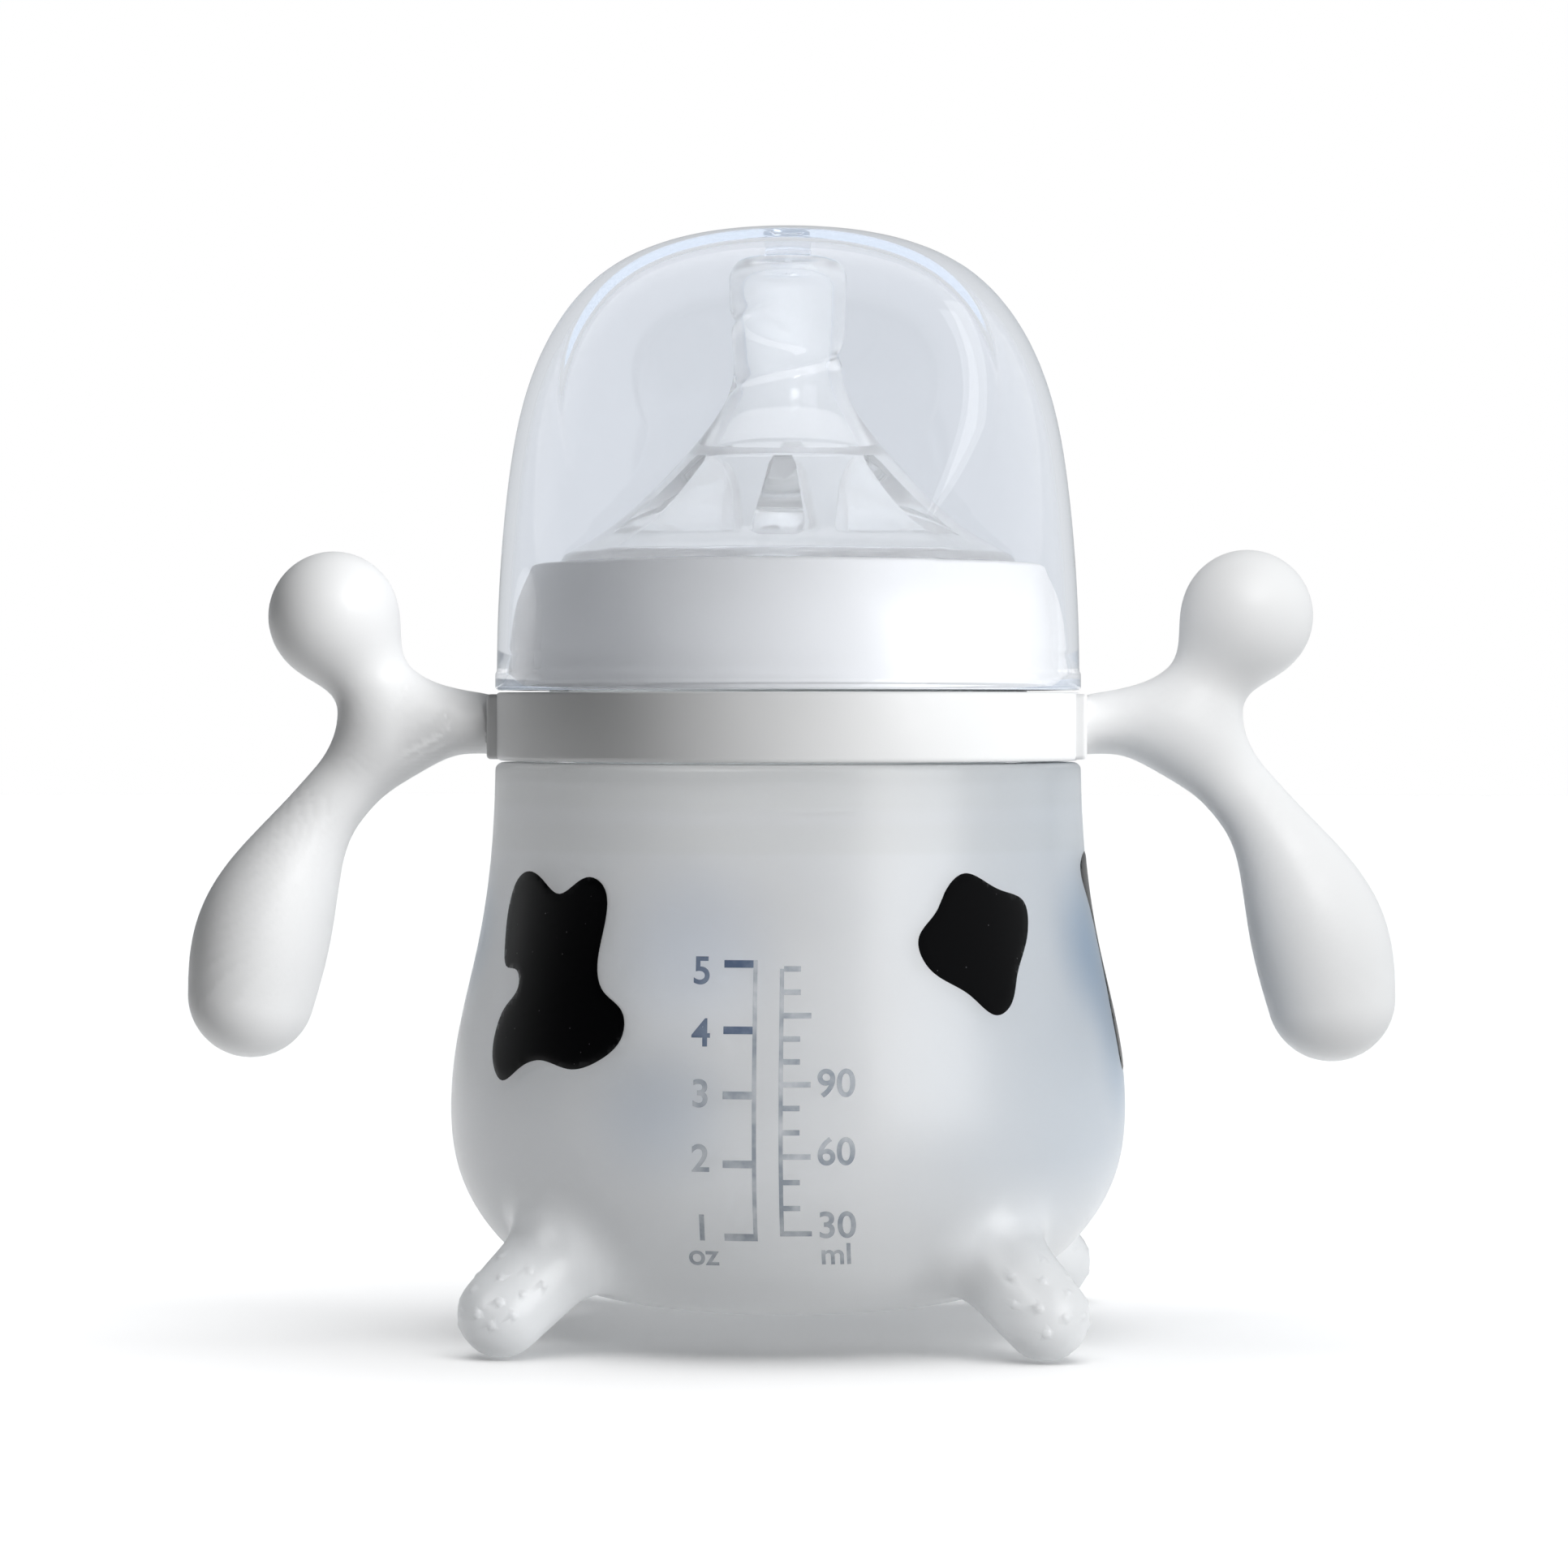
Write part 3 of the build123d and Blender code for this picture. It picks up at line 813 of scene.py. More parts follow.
def lettering(text, x, z, height):
    """Short text centred on x, z and bent to the front, cut into small faces."""
    curve = bpy.data.curves.new("mark", "FONT")
    curve.body = text
    curve.size = height / CAPITAL_SHARE
    curve.offset = 0.02 * height
    curve.align_x = "CENTER"
    curve.align_y = "CENTER"
    obj = bpy.data.objects.new("mark", curve)
    bpy.context.scene.collection.objects.link(obj)
    bpy.context.view_layer.update()
    mesh = bpy.data.meshes.new_from_object(obj.evaluated_get(bpy.context.evaluated_depsgraph_get()))
    bm = bmesh.new()
    bm.from_mesh(mesh)
    for _ in range(4):
        bmesh.ops.triangulate(bm, faces=bm.faces[:])
        long_edges = [e for e in bm.edges if e.calc_length() > LETTER_STEP]
        if long_edges:
            bmesh.ops.subdivide_edges(bm, edges=long_edges, cuts=1)
    bmesh.ops.triangulate(bm, faces=bm.faces[:])
    verts = [on_front(x + v.co.x, z + v.co.y) for v in bm.verts]
    faces = [tuple(v.index for v in f.verts) for f in bm.faces]
    bm.free()
    bpy.data.objects.remove(obj, do_unlink=True)
    bpy.data.meshes.remove(mesh)
    return verts, faces


ounce_z = {5: 44.35, 4: 37.1, 3: 30.0, 2: 22.4, 1: 14.05}
ML_PER_OUNCE = 28.41
OUNCE_HALF = 0.42
ML_HALF = 0.3
OUNCE_LINE = (-1.75, -1.3)
ML_LINE = (1.2, 1.65)
FIGURE_X = 7.5
FIGURE_HEIGHT = 3.0
UNIT_HEIGHT = 2.5


def ml_height(ml):
    """Height of a millilitre mark, read off the ounce marks."""
    ounces = sorted(ounce_z)
    return float(np.interp(ml / ML_PER_OUNCE, ounces, [ounce_z[n] for n in ounces]))


# The figures stand a little closer together than the marks that they name.
dark_marks = []
pale_marks = []
for ounces, z in ounce_z.items():
    marks = dark_marks if ounces > 3 else pale_marks
    marks.append(bar(-5.0, OUNCE_LINE[0], z - OUNCE_HALF, z + OUNCE_HALF))
    marks.append(lettering(str(ounces), -FIGURE_X, z + 0.45 * (3 - ounces), FIGURE_HEIGHT))
pale_marks.append(bar(*OUNCE_LINE, ounce_z[1] - OUNCE_HALF, ounce_z[5] + OUNCE_HALF))
pale_marks.append(bar(*ML_LINE, ml_height(30) - ML_HALF, ml_height(140)))
for ml in range(30, 150, 10):
    z = ml_height(ml)
    reach = 4.7 if ml % 30 == 0 else 3.5
    pale_marks.append(bar(ML_LINE[1], reach, z - ML_HALF, z + ML_HALF))
    if ml in (30, 60, 90):
        pale_marks.append(lettering(str(ml), FIGURE_X, z + 0.014 * (90 - ml), FIGURE_HEIGHT))
pale_marks.append(lettering("oz", -FIGURE_X, ounce_z[1] - 2.3, UNIT_HEIGHT))
pale_marks.append(lettering("ml", 7.3, ounce_z[1] - 2.1, UNIT_HEIGHT))
for name, marks, material in (("scale_dark", dark_marks, ink_dark), ("scale_pale", pale_marks, ink_pale)):
    verts = []
    faces = []
    for some_verts, some_faces in marks:
        base = len(verts)
        verts.extend(some_verts)
        faces.extend(tuple(base + i for i in face) for face in some_faces)
    printed = make_object(name, verts, faces)
    finish_piece(printed, material, "bottle", "sleeve")


# ------------------------------------------------------------------ cow spots
spots = {
    "cow_spot_front_left": (-133.0, [
        (-6.7, 54.1), (-3.3, 52.9), (-0.5, 51.7), (1.8, 52.8), (4.1, 53.7), (6.2, 52.7), (7.0, 49.5),
        (7.0, 42.9), (8.0, 41.2), (11.1, 38.8), (11.5, 36.0), (9.0, 33.4), (5.3, 32.3), (0.6, 33.1),
        (-3.4, 31.9), (-6.5, 30.5), (-8.8, 32.4), (-9.0, 36.6), (-7.8, 38.8), (-5.8, 41.2),
        (-6.6, 42.8), (-9.3, 43.2), (-10.7, 45.8), (-10.9, 50.3), (-9.5, 53.0),
    ]),
    "cow_spot_front_right": (-50.0, [
        (-1.8, 54.1), (-4.1, 52.3), (-5.6, 49.9), (-8.1, 46.9), (-7.4, 43.9), (-2.5, 40.6),
        (0.9, 38.3), (3.2, 39.4), (4.9, 42.7), (7.6, 47.4), (7.6, 50.6), (3.4, 52.3),
    ]),
    "cow_spot_right": (6.0, [
        (-10.5, 54.0), (-5.0, 56.0), (3.0, 54.5), (9.5, 56.0), (14.0, 51.0), (12.0, 45.0),
        (15.5, 39.5), (14.0, 33.0), (7.0, 29.5), (0.0, 31.5), (-7.8, 31.0), (-8.6, 36.0),
        (-6.4, 41.5), (-5.2, 46.0), (-7.8, 50.0),
    ]),
    "cow_spot_left": (163.0, [
        (-7.0, 43.0), (-8.5, 47.0), (-4.0, 52.5), (3.0, 53.0), (7.5, 49.0), (6.0, 43.5),
        (0.5, 40.5),
    ]),
    "cow_spot_back_upper": (99.0, [
        (-8.5, 45.0), (-7.0, 51.0), (-1.0, 53.0), (4.0, 50.5), (9.5, 51.5), (10.0, 46.0),
        (4.5, 42.5), (-2.0, 43.5),
    ]),
    "cow_spot_back_lower": (116.0, [
        (-9.5, 27.5), (-8.0, 33.5), (-2.5, 32.5), (3.5, 35.0), (9.5, 31.0), (8.0, 24.5),
        (2.5, 22.0), (-3.0, 24.5),
    ]),
}


POINTS_PER_KNOT = 40
SPOT_NET = 0.7
SPOT_RISE = 0.09
SPOT_EDGE = 0.35
SPOT_SINK = 0.3


def closed_curve(knots, count):
    """Soft closed outline through the knots."""
    around = knots[-3:] + knots + knots[:3]
    fine = smooth_curve(around, POINTS_PER_KNOT * len(around))
    reach = 5 * POINTS_PER_KNOT
    start = int(np.argmin(np.linalg.norm(fine[:reach] - np.array(knots[0]), axis=1)))
    tail = len(fine) - reach
    stop = tail + int(np.argmin(np.linalg.norm(fine[tail:] - np.array(knots[0]), axis=1)))
    loop = fine[start:stop]
    length = run_lengths(loop)
    even = np.linspace(0, length[-1], count, endpoint=False)
    return np.stack([np.interp(even, length, loop[:, k]) for k in range(2)], axis=1)


def outline_distance(points, loop):
    """How far each point lies from the outline."""
    nearest = np.full(len(points), 1e9)
    for a, b in zip(loop, np.roll(loop, -1, axis=0)):
        d = b - a
        t = np.clip(((points - a) @ d) / (d @ d), 0, 1)
        nearest = np.minimum(nearest, np.linalg.norm(points - a - t[:, None] * d, axis=1))
    return nearest


def spot_piece(name, angle, knots):
    """Inlay with a softly rounded edge, lying on the sleeve."""
    loop = closed_curve(knots, 150)
    low, high = loop.min(axis=0), loop.max(axis=0)
    across, up = (np.arange(low[k], high[k], SPOT_NET) for k in range(2))
    grid = [(x, z) for x in across for z in up]
    points = [Vector(q) for q in loop] + [Vector(q) for q in grid]
    n = len(loop)
    flat, _, tris, _, _, _ = delaunay_2d_cdt(points, [(i, (i + 1) % n) for i in range(n)],
                                             [list(range(n))], 1, 1e-4)
    flat = np.array([tuple(v) for v in flat])
    depth = outline_distance(flat, loop)
    rise = SPOT_RISE * np.sqrt(np.clip(depth / SPOT_EDGE, 0, 1))
    facing = np.array((math.cos(math.radians(angle)), math.sin(math.radians(angle))))
    sideways = np.array((-facing[1], facing[0]))

    def place(extra):
        r = skin_radius(flat[:, 1]) + extra
        out = np.sqrt(np.maximum(r ** 2 - flat[:, 0] ** 2, 0))
        xy = flat[:, :1] * sideways + out[:, None] * facing
        return np.column_stack([xy, flat[:, 1]])

    top = place(rise)
    under = place(-SPOT_SINK)
    count = len(flat)
    tris = [tuple(t) for t in tris]
    edges = {}
    for t in tris:
        for a, b in zip(t, t[1:] + t[:1]):
            edges[(a, b)] = edges.get((a, b), 0) + 1
    rim = [e for e in edges if (e[1], e[0]) not in edges]
    faces = tris + [tuple(count + i for i in reversed(t)) for t in tris]
    faces += [(b, a, count + a, count + b) for a, b in rim]
    obj = outward(make_object(name + "_inlay", np.vstack([top, under]), faces, 60))
    finish_piece(obj, spot_mat, "bottle", "cow_spot", name)


for spot_name, (angle, knots) in spots.items():
    spot_piece(spot_name, angle, knots)


# ------------------------------------------------------------------ handle ring
RING_LOW = 66.55
RING_TOP = 74.5
RING_R = 34.15
RING_BORE = 29.7
under_shelf = (RING_R - 1.9, RING_TOP - 1.8)
ring_outline = rounded_corners([
    (RING_R, RING_TOP, 0.35), (RING_R, RING_LOW, 0.6), (under_shelf[0], RING_LOW, 0.3),
    (*under_shelf, 0), (RING_BORE, under_shelf[1], 0.2), (RING_BORE, RING_TOP, 0.3),
], 5)
ring = lathe("ring_body", ring_outline, 256)
finish_piece(ring, white_satin, "handles", "white_handles", "handle_ring")


def rounded_block(name, centre, half, radius, steps=6):
    """Box with every edge rounded, by growing a smaller box."""
    bm = bmesh.new()
    bmesh.ops.create_cube(bm, size=2.0)
    for v in bm.verts:
        v.co = Vector(v.co[k] * half[k] for k in range(3))
    bmesh.ops.bevel(bm, geom=bm.edges[:], offset=radius, segments=steps, profile=0.5, affect="EDGES")
    verts = [tuple(v.co[k] + centre[k] for k in range(3)) for v in bm.verts]
    faces = [tuple(v.index for v in f.verts) for f in bm.faces]
    bm.free()
    return make_object(name, verts, faces, 30)


for side, side_name in ((1, "right"), (-1, "left")):
    socket = rounded_block("socket_" + side_name, (side * 33.6, 0, 70.5), (1.4, 5.3, 3.8), 0.5)
    finish_piece(socket, white_satin, "handles", "white_handles")


# ------------------------------------------------------------------ handles
arm_and_grip = [
    (33.5, 70.5, 3.3), (40.3, 70.95, 3.95), (45.7, 69.35, 4.4), (50.8, 65.15, 4.15),
    (55.7, 59.2, 4.45), (59.4, 52.6, 6.35), (62.2, 45.5, 7.95), (63.5, 38.9, 7.45),
]
neck = [(47.2, 71.7, 4.05), (49.7, 76.8, 4.3), (52.6, 81.6, 4.4)]
BALL = (53.65, 83.45, 7.68)
HANDLE_BLEND = 6.5
BALL_BLEND = 3.5
HANDLE_START = 35.03
ARM_DEEP_TO = 46.0
ARM_DEEP_RUN = 8.0
ARM_DEEPER = 0.22
arm_line = smooth_curve(arm_and_grip, 90)
neck_line = smooth_curve(neck, 16)


def chain_distance(p, stations):
    """Distance to a limb given by closely spaced (x, z, radius) stations."""
    best = np.full(len(p), 1e9)
    slope = np.zeros_like(p)
    for (x0, z0, r0), (x1, z1, r1) in zip(stations, stations[1:]):
        value, grow = tapered(p, (x0, 0, z0), (x1, 0, z1), r0, r1)
        closer = value < best
        best = np.where(closer, value, best)
        slope = np.where(closer[:, None], grow, slope)
    return best, slope


def handle_distance(p):
    """Distance to a whole handle, which widens from front to back near the ring."""
    q = p.copy()
    near_ring = np.clip((ARM_DEEP_TO - q[:, 0]) / ARM_DEEP_RUN, 0, 1)
    squeeze = 1 - ARM_DEEPER * near_ring * near_ring * (3 - 2 * near_ring)
    q[:, 1] *= squeeze
    limbs = soft_union(chain_distance(q, arm_line), chain_distance(q, neck_line), HANDLE_BLEND)
    from_ball = q - np.array((BALL[0], 0, BALL[1]))
    reach = np.linalg.norm(from_ball, axis=1)
    ball = (reach - BALL[2], from_ball / np.maximum(reach, 1e-9)[:, None])
    value, slope = soft_union(limbs, ball, BALL_BLEND)
    slope = slope * np.column_stack([np.ones(len(p)), squeeze, np.ones(len(p))])
    return value, slope


stations = np.vstack([arm_line, neck_line, [BALL]])
handle = ball_cloud("handle_body_right", [(x, 0, z, r) for x, z, r in stations], 3)
shrink_onto(handle, handle_distance, 0.55, 10)
points = read_points(handle.data)
points[:, 0] = np.maximum(points[:, 0], HANDLE_START)
write_points(handle.data, points)
true_normals(handle.data, handle_distance)
finish_piece(handle, white_satin, "handles", "white_handles", "handle_right")

left = bpy.data.objects.new("handle_body_left", handle.data.copy())
bpy.context.scene.collection.objects.link(left)
write_points(left.data, points * np.array((-1, 1, 1)))
left.data.flip_normals()
finish_piece(left, white_satin, "handles", "white_handles", "handle_left")


# ------------------------------------------------------------------ collar
COLLAR_LOW = 74.75
COLLAR_SHELF = 88.3
COLLAR_TOP = 89.4
COLLAR_BORE = 29.75
COLLAR_MOUTH = 27.0
collar_side = smooth_curve([(32.8, 75.6), (32.5, 80.5), (31.6, 85.5), (30.4, COLLAR_SHELF)], 24)
collar_inside = rounded_corners([
    (COLLAR_MOUTH, COLLAR_SHELF, 0.1), (COLLAR_BORE, COLLAR_SHELF, 0), (COLLAR_BORE, COLLAR_LOW, 0.3),
    (32.8, COLLAR_LOW, 0.5),
], 4)
collar_rim = rounded_corners([
    (30.4, COLLAR_SHELF, 0), (29.95, COLLAR_TOP, 0.7), (COLLAR_MOUTH, COLLAR_TOP, 0.4),
], 5)
collar = lathe("collar_body", joined(collar_inside, collar_side, collar_rim[1:]), 256)
finish_piece(collar, white_gloss, "collar", "white_collar", "collar")
collar_thread = thread_mesh("collar_thread", COLLAR_BORE, -THREAD_DEPTH, math.pi)
finish_piece(collar_thread, white_gloss, "collar", "white_collar")


# ------------------------------------------------------------------ teat
FEED_HOLE_R = 0.35
nipple_outer = smooth_curve([(6.85, 122.2), (6.55, 115.5), (6.45, 111.0), (8.3, 106.7), (11.2, 102.9)], 60)
cone_outer = smooth_curve([(11.2, 102.9), (16.9, 96.9), (21.3, 93.4), (26.2, 90.6)], 40)
cone_inner = smooth_curve([(24.9, 89.3), (20.2, 92.2), (15.8, 95.6), (10.2, 101.5)], 30)
nipple_inner = smooth_curve([(8.6, 101.9), (6.6, 106.5), (5.0, 110.8), (5.1, 115.5), (5.35, 121.6)], 50)
tip_line = rounded_corners([(FEED_HOLE_R, 125.5, 0), (6.9, 125.5, 2.9), (6.85, 122.2, 0)], 10)
tip_inner = rounded_corners([(5.35, 121.6, 0), (5.3, 123.9, 1.9), (FEED_HOLE_R, 123.9, 0)], 8)
flange = rounded_corners([
    (26.6, 90.0, 0), (26.6, 88.2, 0.2), (29.2, 88.2, 0.3), (29.2, 87.1, 0.3), (24.9, 87.1, 0.4),
], 3)
teat_outline = joined(tip_line[:-1], nipple_outer, cone_outer[1:], flange)
teat_outline += joined(cone_inner, nipple_inner, tip_inner[1:])
teat_verts, teat_faces = lathe_mesh(teat_outline)
teat_verts = np.array(teat_verts)

# Spiral groove round the nipple, pressed into the outer surface.
GROOVE_LOW = 109.9
GROOVE_PITCH = 7.8
GROOVE_TURNS = 1.3
GROOVE_RUN_OUT = 0.15
GROOVE_HALF = 0.8
GROOVE_DEPTH = 0.55
rho = np.hypot(teat_verts[:, 0], teat_verts[:, 1])
azimuth = np.arctan2(teat_verts[:, 1], teat_verts[:, 0])
outer_wall = (rho > 6.2) & (teat_verts[:, 2] > 107.0)
for turn in (0, 1):
    along = (azimuth + math.pi) / (2 * math.pi) + turn
    groove_z = GROOVE_LOW + GROOVE_PITCH * along
    fade = np.clip((GROOVE_TURNS - along) / GROOVE_RUN_OUT, 0, 1)
    hit = np.exp(-((teat_verts[:, 2] - groove_z) / GROOVE_HALF) ** 2) * fade * outer_wall
    scale = 1 - GROOVE_DEPTH * hit / np.maximum(rho, 1)
    teat_verts[:, 0] *= scale
    teat_verts[:, 1] *= scale
teat = outward(make_object("teat_body", teat_verts, teat_faces, 60))


def petal_mesh(name, angle):
    """Upright stiffening rib inside the cone, wider at its rounded foot."""
    z_and_half = (
        (91.55, 2.0), (91.9, 2.7), (92.8, 2.95), (95.0, 2.55), (98.0, 1.9), (100.2, 1.5), (101.2, 1.0),
    )
    verts = []
    for z, half in z_and_half:
        outer_r = float(np.interp(z, cone_inner[:, 1], cone_inner[:, 0])) + 0.5
        inner_r = 7.9 + max(0.0, z - 99.0) * 0.6
        corners = [(inner_r, half * 0.75), (inner_r + 0.5, half), (outer_r, half)]
        corners += [(r, -w) for r, w in reversed(corners)]
        verts += [(r, w, z) for r, w in corners]
    c, s = math.cos(angle), math.sin(angle)
    turned = [(c * x - s * y, s * x + c * y, z) for x, y, z in verts]
    return outward(make_object(name, turned, tube_faces(len(z_and_half), 6), 60))


for k in range(6):
    combine(teat, petal_mesh("petal", math.radians(-90 + 60 * k)), "UNION")
shade_again(teat, 45)
finish_piece(teat, teat_clear, "teat", "teat", "teat")


# ------------------------------------------------------------------ dust cap
cap_outer_knots = [(34.1, 78.5), (33.8, 87.2), (32.8, 98.6), (31.05, 108.2), (28.1, 115.8),
                   (21.9, 123.4), (12.0, 127.8), (0, 128.9)]
cap_inner_knots = [(32.8, 79.0), (32.45, 87.2), (31.4, 98.6), (29.7, 107.8), (26.9, 115.0),
                   (21.0, 122.2), (11.6, 126.4), (0, 127.5)]
WINDOW_R = 110.0
WINDOW_LOW = (33.8, 85.0)
WINDOW_HIGH = (13.4, 127.0)
WINDOW_WALL = 1.15
CREASE_REACH = 6.0
CAP_COLUMNS = 288
CAP_LOW = 78.5
CAP_INNER_LOW = 79.0
HUB_Z = 80.0
lean = (WINDOW_LOW[0] - WINDOW_HIGH[0]) / (WINDOW_HIGH[1] - WINDOW_LOW[1])
lean_cos = 1 / math.hypot(1, lean)
lean_sin = lean * lean_cos
window_middle = np.array((0, -(WINDOW_LOW[0] + WINDOW_HIGH[0]) / 2, (WINDOW_LOW[1] + WINDOW_HIGH[1]) / 2))
window_normal = np.array((0, -lean_cos, lean_sin))
window_up = np.array((0, lean_sin, lean_cos))
hub = np.array((0, 0, HUB_Z))


def dome_reach(directions, line):
    """Distance from the hub to the dome along each direction."""
    level = np.hypot(directions[:, 0], directions[:, 1])
    tilt = np.arctan2(directions[:, 2], level)
    tilts = np.arctan2(line[:, 1] - HUB_Z, line[:, 0])
    reach = np.hypot(line[:, 0], line[:, 1] - HUB_Z)
    return np.interp(tilt, tilts, reach)


def window_reach(directions, radius):
    """Distance from the hub to the window's gently curved face along each direction."""
    axis_point = window_middle - window_normal * WINDOW_R
    across = directions - (directions @ window_up)[:, None] * window_up
    start = hub - axis_point
    start = start - (start @ window_up) * window_up
    a = (across ** 2).sum(axis=1)
    b = across @ start
    c = start @ start - radius ** 2
    root = np.sqrt(np.maximum(b * b - a * c, 0))
    return (-b + root) / np.maximum(a, 1e-9)


def soft_smaller(a, b, k):
    """Smaller of two numbers with the corner between them rounded over about k."""
    h = np.clip(0.5 + 0.5 * (b - a) / k, 0, 1)
    return b * (1 - h) + a * h - k * h * (1 - h)


def last_angle(holds, limit):
    """Largest angle in radians, for each column, at which a test holds; the limit is in degrees."""
    low = np.zeros(CAP_COLUMNS)
    high = np.full(CAP_COLUMNS, math.radians(limit))
    for _ in range(40):
        middle = (low + high) / 2
        passed = holds(middle)
        low = np.where(passed, middle, low)
        high = np.where(passed, high, middle)
    return (low + high) / 2


def cap_shell(name):
    """Closed shell whose net runs out from the middle of the window, over its crease, to the rim."""
    to_window = window_middle - hub
    to_window /= np.linalg.norm(to_window)
    right = np.array((1.0, 0, 0))
    up = np.cross(to_window, right)
    up *= math.copysign(1, up[2])
    turn = np.linspace(0, 2 * math.pi, CAP_COLUMNS, endpoint=False)
    rim_dir = np.cos(turn)[:, None] * right + np.sin(turn)[:, None] * up

    def direction(alpha):
        return np.cos(alpha)[:, None] * to_window + np.sin(alpha)[:, None] * rim_dir

    def surface(alpha, line, radius, k):
        d = direction(alpha)
        t = soft_smaller(dome_reach(d, line), window_reach(d, radius), k)
        return hub + t[:, None] * d

    def crease(line, radius):
        """Angle at which each column passes from the window to the dome."""
        def on_window(alpha):
            d = direction(alpha)
            return window_reach(d, radius) < dome_reach(d, line)
        return last_angle(on_window, 88)

    def to_height(z, line):
        """Angle at which each column comes down to height z on the dome."""
        goal = math.atan2(z - HUB_Z, float(np.interp(z, line[:, 1], line[:, 0])))

        def above(alpha):
            d = direction(alpha)
            return np.arctan2(d[:, 2], np.hypot(d[:, 0], d[:, 1])) > goal
        return last_angle(above, 178)

    def grid(line, radius, k, bottom):
        """Middle point and rings of the outer or inner face, closely spaced at the crease."""
        edge_at = crease(line, radius)
        end_at = to_height(bottom, line)
        near = math.radians(CREASE_REACH)
        angles = [(edge_at - near) * f for f in np.linspace(0, 1, 24)[1:-1]]
        angles += [edge_at + shift for shift in np.linspace(-near, near, 25)]
        shares = np.linspace(0, 1, 38)[1:] ** 1.15
        angles += [(edge_at + near) * (1 - f) + end_at * f for f in shares]
        pole = surface(np.zeros(CAP_COLUMNS), line, radius, k)[:1]
        return pole, [surface(a, line, radius, k) for a in angles]

    dome_outside = smooth_curve(cap_outer_knots, 400, (-0.01, 1), (-1, 0))
    dome_inside = smooth_curve(cap_inner_knots, 400, (-0.01, 1), (-1, 0))
    dome_outside = np.vstack([[(34.12, 77.2)], dome_outside])
    dome_inside = np.vstack([[(33.1, 77.9)], dome_inside])
    outer_pole, outer_rows = grid(dome_outside, WINDOW_R, 1.8, CAP_LOW)
    inner_pole, inner_rows = grid(dome_inside, WINDOW_R - WINDOW_WALL, 1.6, CAP_INNER_LOW)

    # Rim at the base: a low bead outside, a flat foot, then up the inside.
    last = outer_rows[-1]
    around = np.arctan2(last[:, 1], last[:, 0])
    rim = [(34.11, 77.4), (34.16, 76.95), (34.28, 76.7), (34.3, 76.4), (34.3, 75.2), (34.26, 74.95),
           (34.1, 74.78), (33.9, 74.75), (33.4, 74.75), (33.2, 74.8), (33.1, 74.95), (33.1, 77.5)]
    level = np.ones(CAP_COLUMNS)
    rim_rows = [np.column_stack([r * np.cos(around), r * np.sin(around), z * level]) for r, z in rim]
    rows = outer_rows + rim_rows + inner_rows[::-1]
    verts = np.vstack([outer_pole] + rows + [inner_pole])
    faces = []
    for k in range(CAP_COLUMNS):
        j = (k + 1) % CAP_COLUMNS
        faces.append((0, 1 + k, 1 + j))
        for i in range(len(rows) - 1):
            a = 1 + i * CAP_COLUMNS
            b = a + CAP_COLUMNS
            faces.append((a + k, b + k, b + j, a + j))
        a = 1 + (len(rows) - 1) * CAP_COLUMNS
        faces.append((a + k, len(verts) - 1, a + j))
    return outward(make_object(name, verts, faces, 50))


cap = cap_shell("cap_shell")
finish_piece(cap, cap_clear, "cap", "clear_cap", "dust_cap")
PLUG_R = 2.75
PLUG_TOP = 127.6
PLUG_LOW = 125.8
plug_outline = rounded_corners([
    (0, PLUG_TOP, 0), (PLUG_R, PLUG_TOP, 0), (PLUG_R, PLUG_LOW, 0.4), (0, PLUG_LOW, 0),
], 4)
plug = lathe("cap_plug", plug_outline, 64)
finish_piece(plug, cap_clear, "cap", "clear_cap")


# ------------------------------------------------------------------ floor
half = 4.0
floor_mesh = bpy.data.meshes.new("floor")
floor_corners = [(-half, -half, 0), (half, -half, 0), (half, half, 0), (-half, half, 0)]
floor_mesh.from_pydata(floor_corners, [], [(0, 1, 2, 3)])
floor = bpy.data.objects.new("floor", floor_mesh)
bpy.context.scene.collection.objects.link(floor)
floor.location.z = -0.1 * MM
floor_mat, tree, shader = new_material("pale_floor", Base_Color=(0.93, 0.93, 0.935, 1.0), Roughness=0.6)
dapple = ramp(tree, noise(tree, 3.0, 2.0), [(0.3, (0.925, 0.925, 0.93)), (0.7, (0.94, 0.94, 0.94))])
feed(tree, shader.inputs["Base Color"], dapple)
floor.data.materials.append(floor_mat)
floor.visible_diffuse = False
floor.visible_shadow = False

# ------------------------------------------------------------------ light from all round
scene = bpy.context.scene
scene.view_settings.view_transform = "Standard"
# Light runs a long way inside clear walls, so it needs many bounces.
scene.cycles.max_bounces = 32
scene.cycles.glossy_bounces = 24
scene.cycles.transmission_bounces = 32
scene.cycles.diffuse_bounces = 6
world = bpy.data.worlds.new("studio")
scene.world = world
world.use_nodes = True
sky = world.node_tree
path = sky.nodes.new("ShaderNodeLightPath").outputs
heading = sky.nodes.new("ShaderNodeTexCoord").outputs["Generated"]
parts = add_node(sky, "ShaderNodeSeparateXYZ", Vector=heading).outputs


def glow(axis, low, high, amount, tint):
    """Brightness that rises with one component of the direction."""
    return vector_maths(sky, "SCALE", tint, rising(sky, parts[axis], low, high, 0.0, amount, "SMOOTHSTEP"))


def plus(a, b):
    return vector_maths(sky, "ADD", a, b)


# The studio round the object: a bright wall behind, a dim room in front, a pale table below.
room = plus((0.03, 0.03, 0.03), glow("Y", -0.05, 0.45, 0.45, (0.95, 0.98, 1.0)))
room = plus(room, glow("X", 0.1, 0.8, 0.42, (0.96, 0.985, 1.0)))
room = plus(room, glow("Z", -0.15, -0.8, 0.55, (1, 1, 1)))

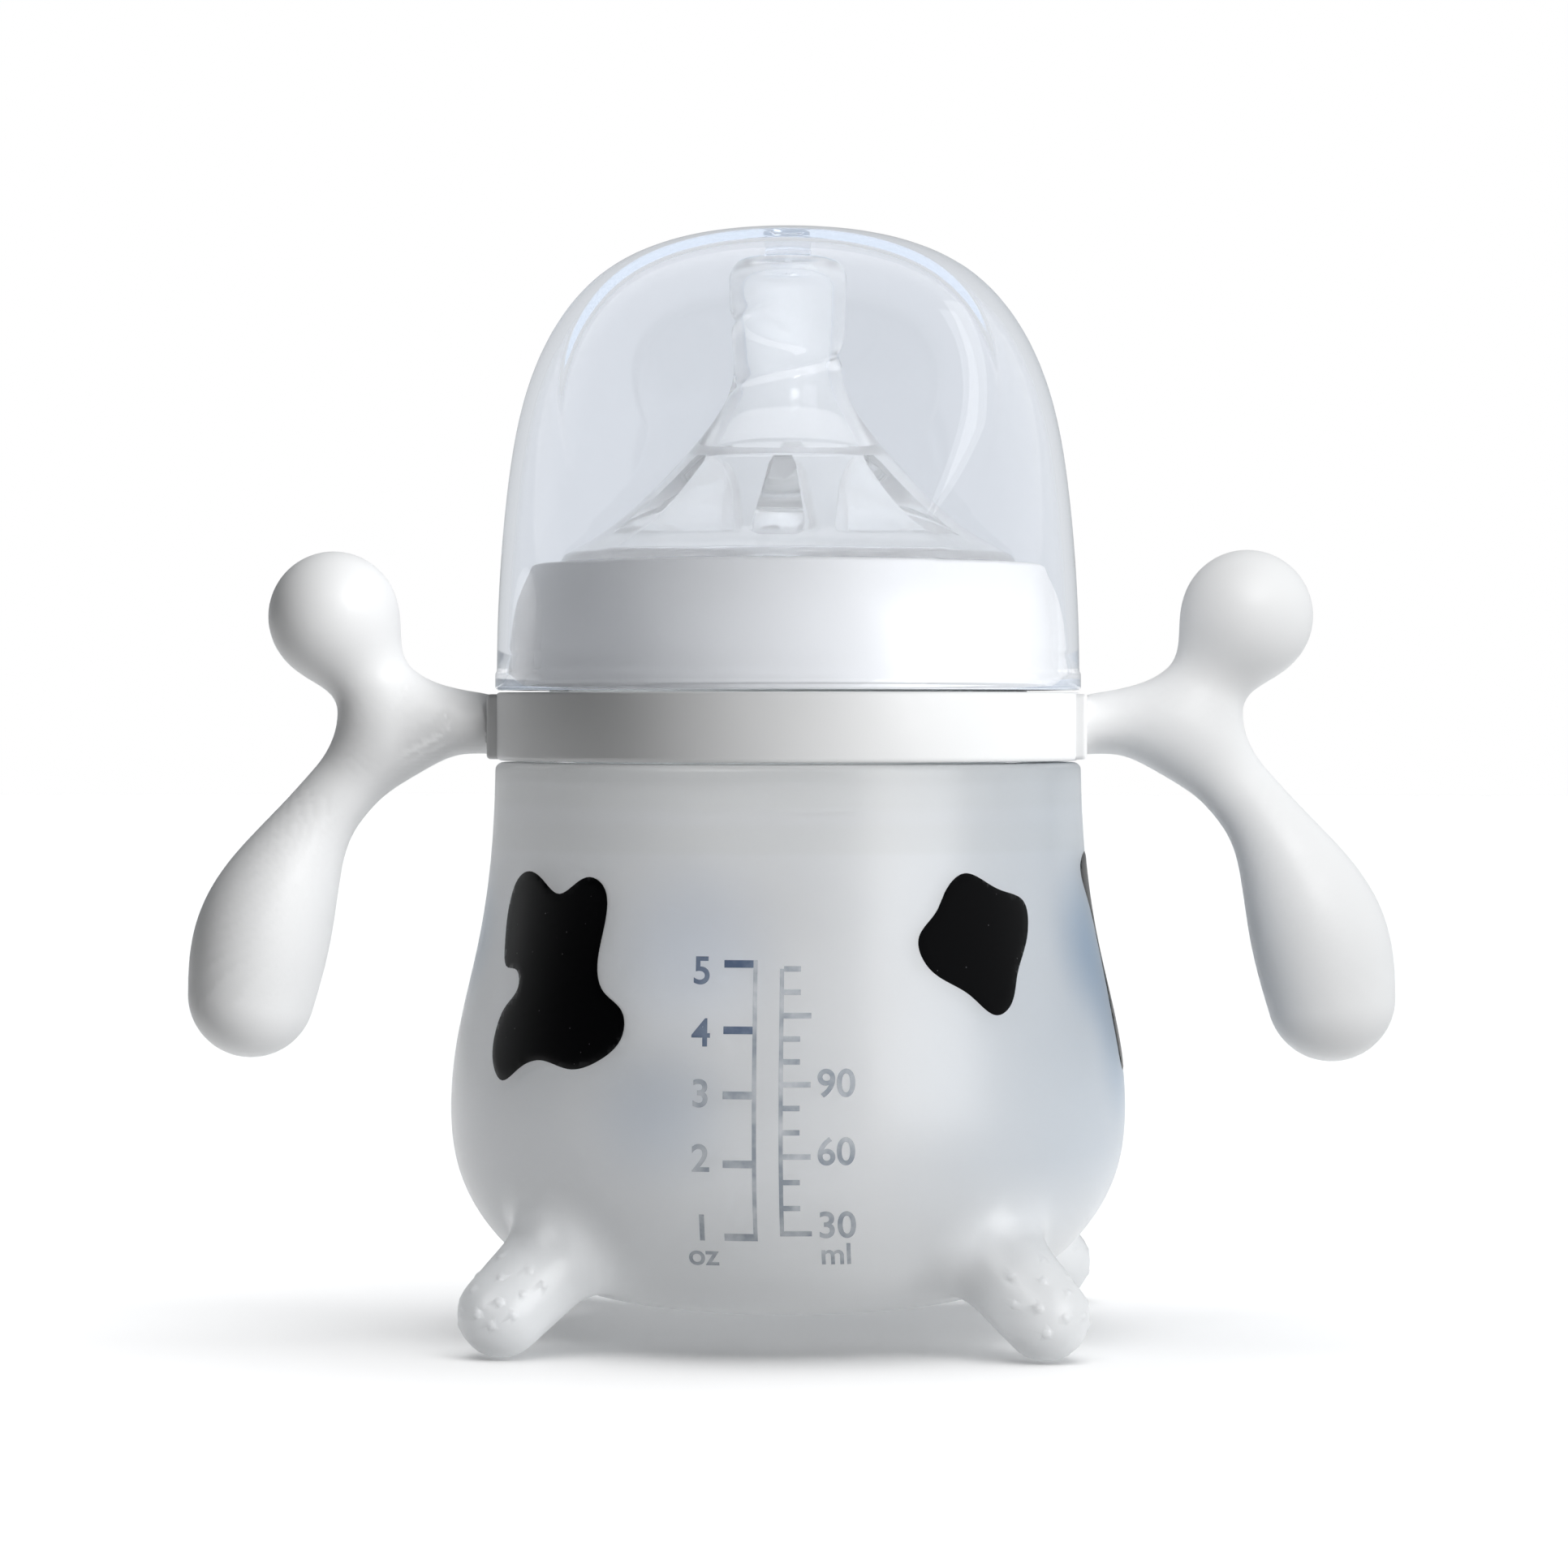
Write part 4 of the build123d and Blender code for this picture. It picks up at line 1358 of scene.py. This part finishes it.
# Clear pieces show a pale even sky instead, as long as no matt surface lies on the way.
SKY_TINT = (0.94, 0.97, 1.0)
through = plus(tuple(0.74 * c for c in SKY_TINT), glow("Y", 0.3, 0.9, 0.06, SKY_TINT))
no_matt_yet = maths(sky, "LESS_THAN", path["Diffuse Depth"], 0.5)
many_bounces = maths(sky, "GREATER_THAN", path["Ray Depth"], 4.5)
past_wall = maths(sky, "MAXIMUM", path["Is Transmission Ray"], many_bounces)
clear_share = maths(sky, "MULTIPLY", no_matt_yet, past_wall)
other_share = maths(sky, "SUBTRACT", 1.0, clear_share)
room_light = vector_maths(sky, "SCALE", room, other_share)
clear_light = vector_maths(sky, "SCALE", through, clear_share)

# The camera itself sees plain white.
backing = sky.nodes["Background"]
feed(sky, backing.inputs["Strength"], 1.0)
feed(sky, backing.inputs["Color"], plus(room_light, clear_light))
white = add_node(sky, "ShaderNodeBackground", Color=(1, 1, 1, 1))
pick = add_node(sky, "ShaderNodeMixShader", Fac=path["Is Camera Ray"])
feed(sky, pick.inputs[1], backing.outputs["Background"])
feed(sky, pick.inputs[2], white.outputs["Background"])
feed(sky, sky.nodes["World Output"].inputs["Surface"], pick.outputs["Shader"])


# ------------------------------------------------------------------ lamps
def only_for(name, *piece_names):
    """Collection of the pieces that a lamp is kept to."""
    group = bpy.data.collections.new(name)
    for piece_name in piece_names:
        group.objects.link(bpy.data.objects[piece_name])
    return group


def softbox(name, azimuth, height, size, power, group=None):
    """Square lamp 0.72 m away, aimed at the middle of the bottle."""
    reach = 0.72
    middle = Vector((0, 0, 0.06))
    a = math.radians(azimuth)
    e = math.radians(height)
    lamp = bpy.data.lights.new(name, "AREA")
    lamp.shape = "SQUARE"
    lamp.size = size
    lamp.energy = power
    obj = bpy.data.objects.new(name, lamp)
    away = Vector((math.cos(e) * math.cos(a), math.cos(e) * math.sin(a), math.sin(e)))
    obj.location = middle + reach * away
    obj.rotation_euler = (-away).to_track_quat("-Z", "Y").to_euler()
    if group:
        obj.light_linking.receiver_collection = group
    scene.collection.objects.link(obj)


left_group = only_for("lit_left_handle", "handle_body_left")
right_group = only_for("lit_right_handle", "handle_body_right")
ring_group = only_for("lit_ring", "ring_body", "collar_body", "socket_right", "socket_left")
teat_group = only_for("lit_teat", "teat_body")
sleeve_group = only_for("lit_sleeve", "sleeve_skin", "scale_dark", "scale_pale")
softbox("key", -35, 48, 0.28, 0.5)
softbox("left_handle_light", -53, 32, 0.3, 4.9, left_group)
softbox("right_handle_light", -70, 38, 0.3, 3.6, right_group)
softbox("ring_light", -34, 14, 0.2, 3.3, ring_group)
softbox("sleeve_light", -38, 12, 0.5, 3.6, sleeve_group)
softbox("sleeve_fill", -122, 34, 0.5, 2.4, sleeve_group)
softbox("teat_light", -70, 52, 0.16, 2.2, teat_group)

# Light for the table alone, so it stays an even white.
sun = bpy.data.lights.new("table_light", "SUN")
sun.angle = math.radians(70)
sun.energy = 2.9
sun_obj = bpy.data.objects.new("table_light", sun)
sun_obj.light_linking.receiver_collection = only_for("table_only", "floor")
scene.collection.objects.link(sun_obj)


# ------------------------------------------------------------------ camera
CAMERA_TURN = math.radians(3.3)
CAMERA_TILT = math.radians(90 - 0.772)
CAMERA_REACH = 0.622
CAMERA_ASIDE = -0.00048
CAMERA_Z = 0.07215
camera_data = bpy.data.cameras.new("camera")
camera_data.lens = 121.7
camera_data.sensor_width = 36.0
camera = bpy.data.objects.new("camera", camera_data)
camera.location = (
    CAMERA_REACH * math.sin(CAMERA_TURN) + CAMERA_ASIDE * math.cos(CAMERA_TURN),
    -CAMERA_REACH * math.cos(CAMERA_TURN) + CAMERA_ASIDE * math.sin(CAMERA_TURN),
    CAMERA_Z,
)
camera.rotation_euler = (CAMERA_TILT, 0, CAMERA_TURN)
scene.collection.objects.link(camera)
scene.camera = camera
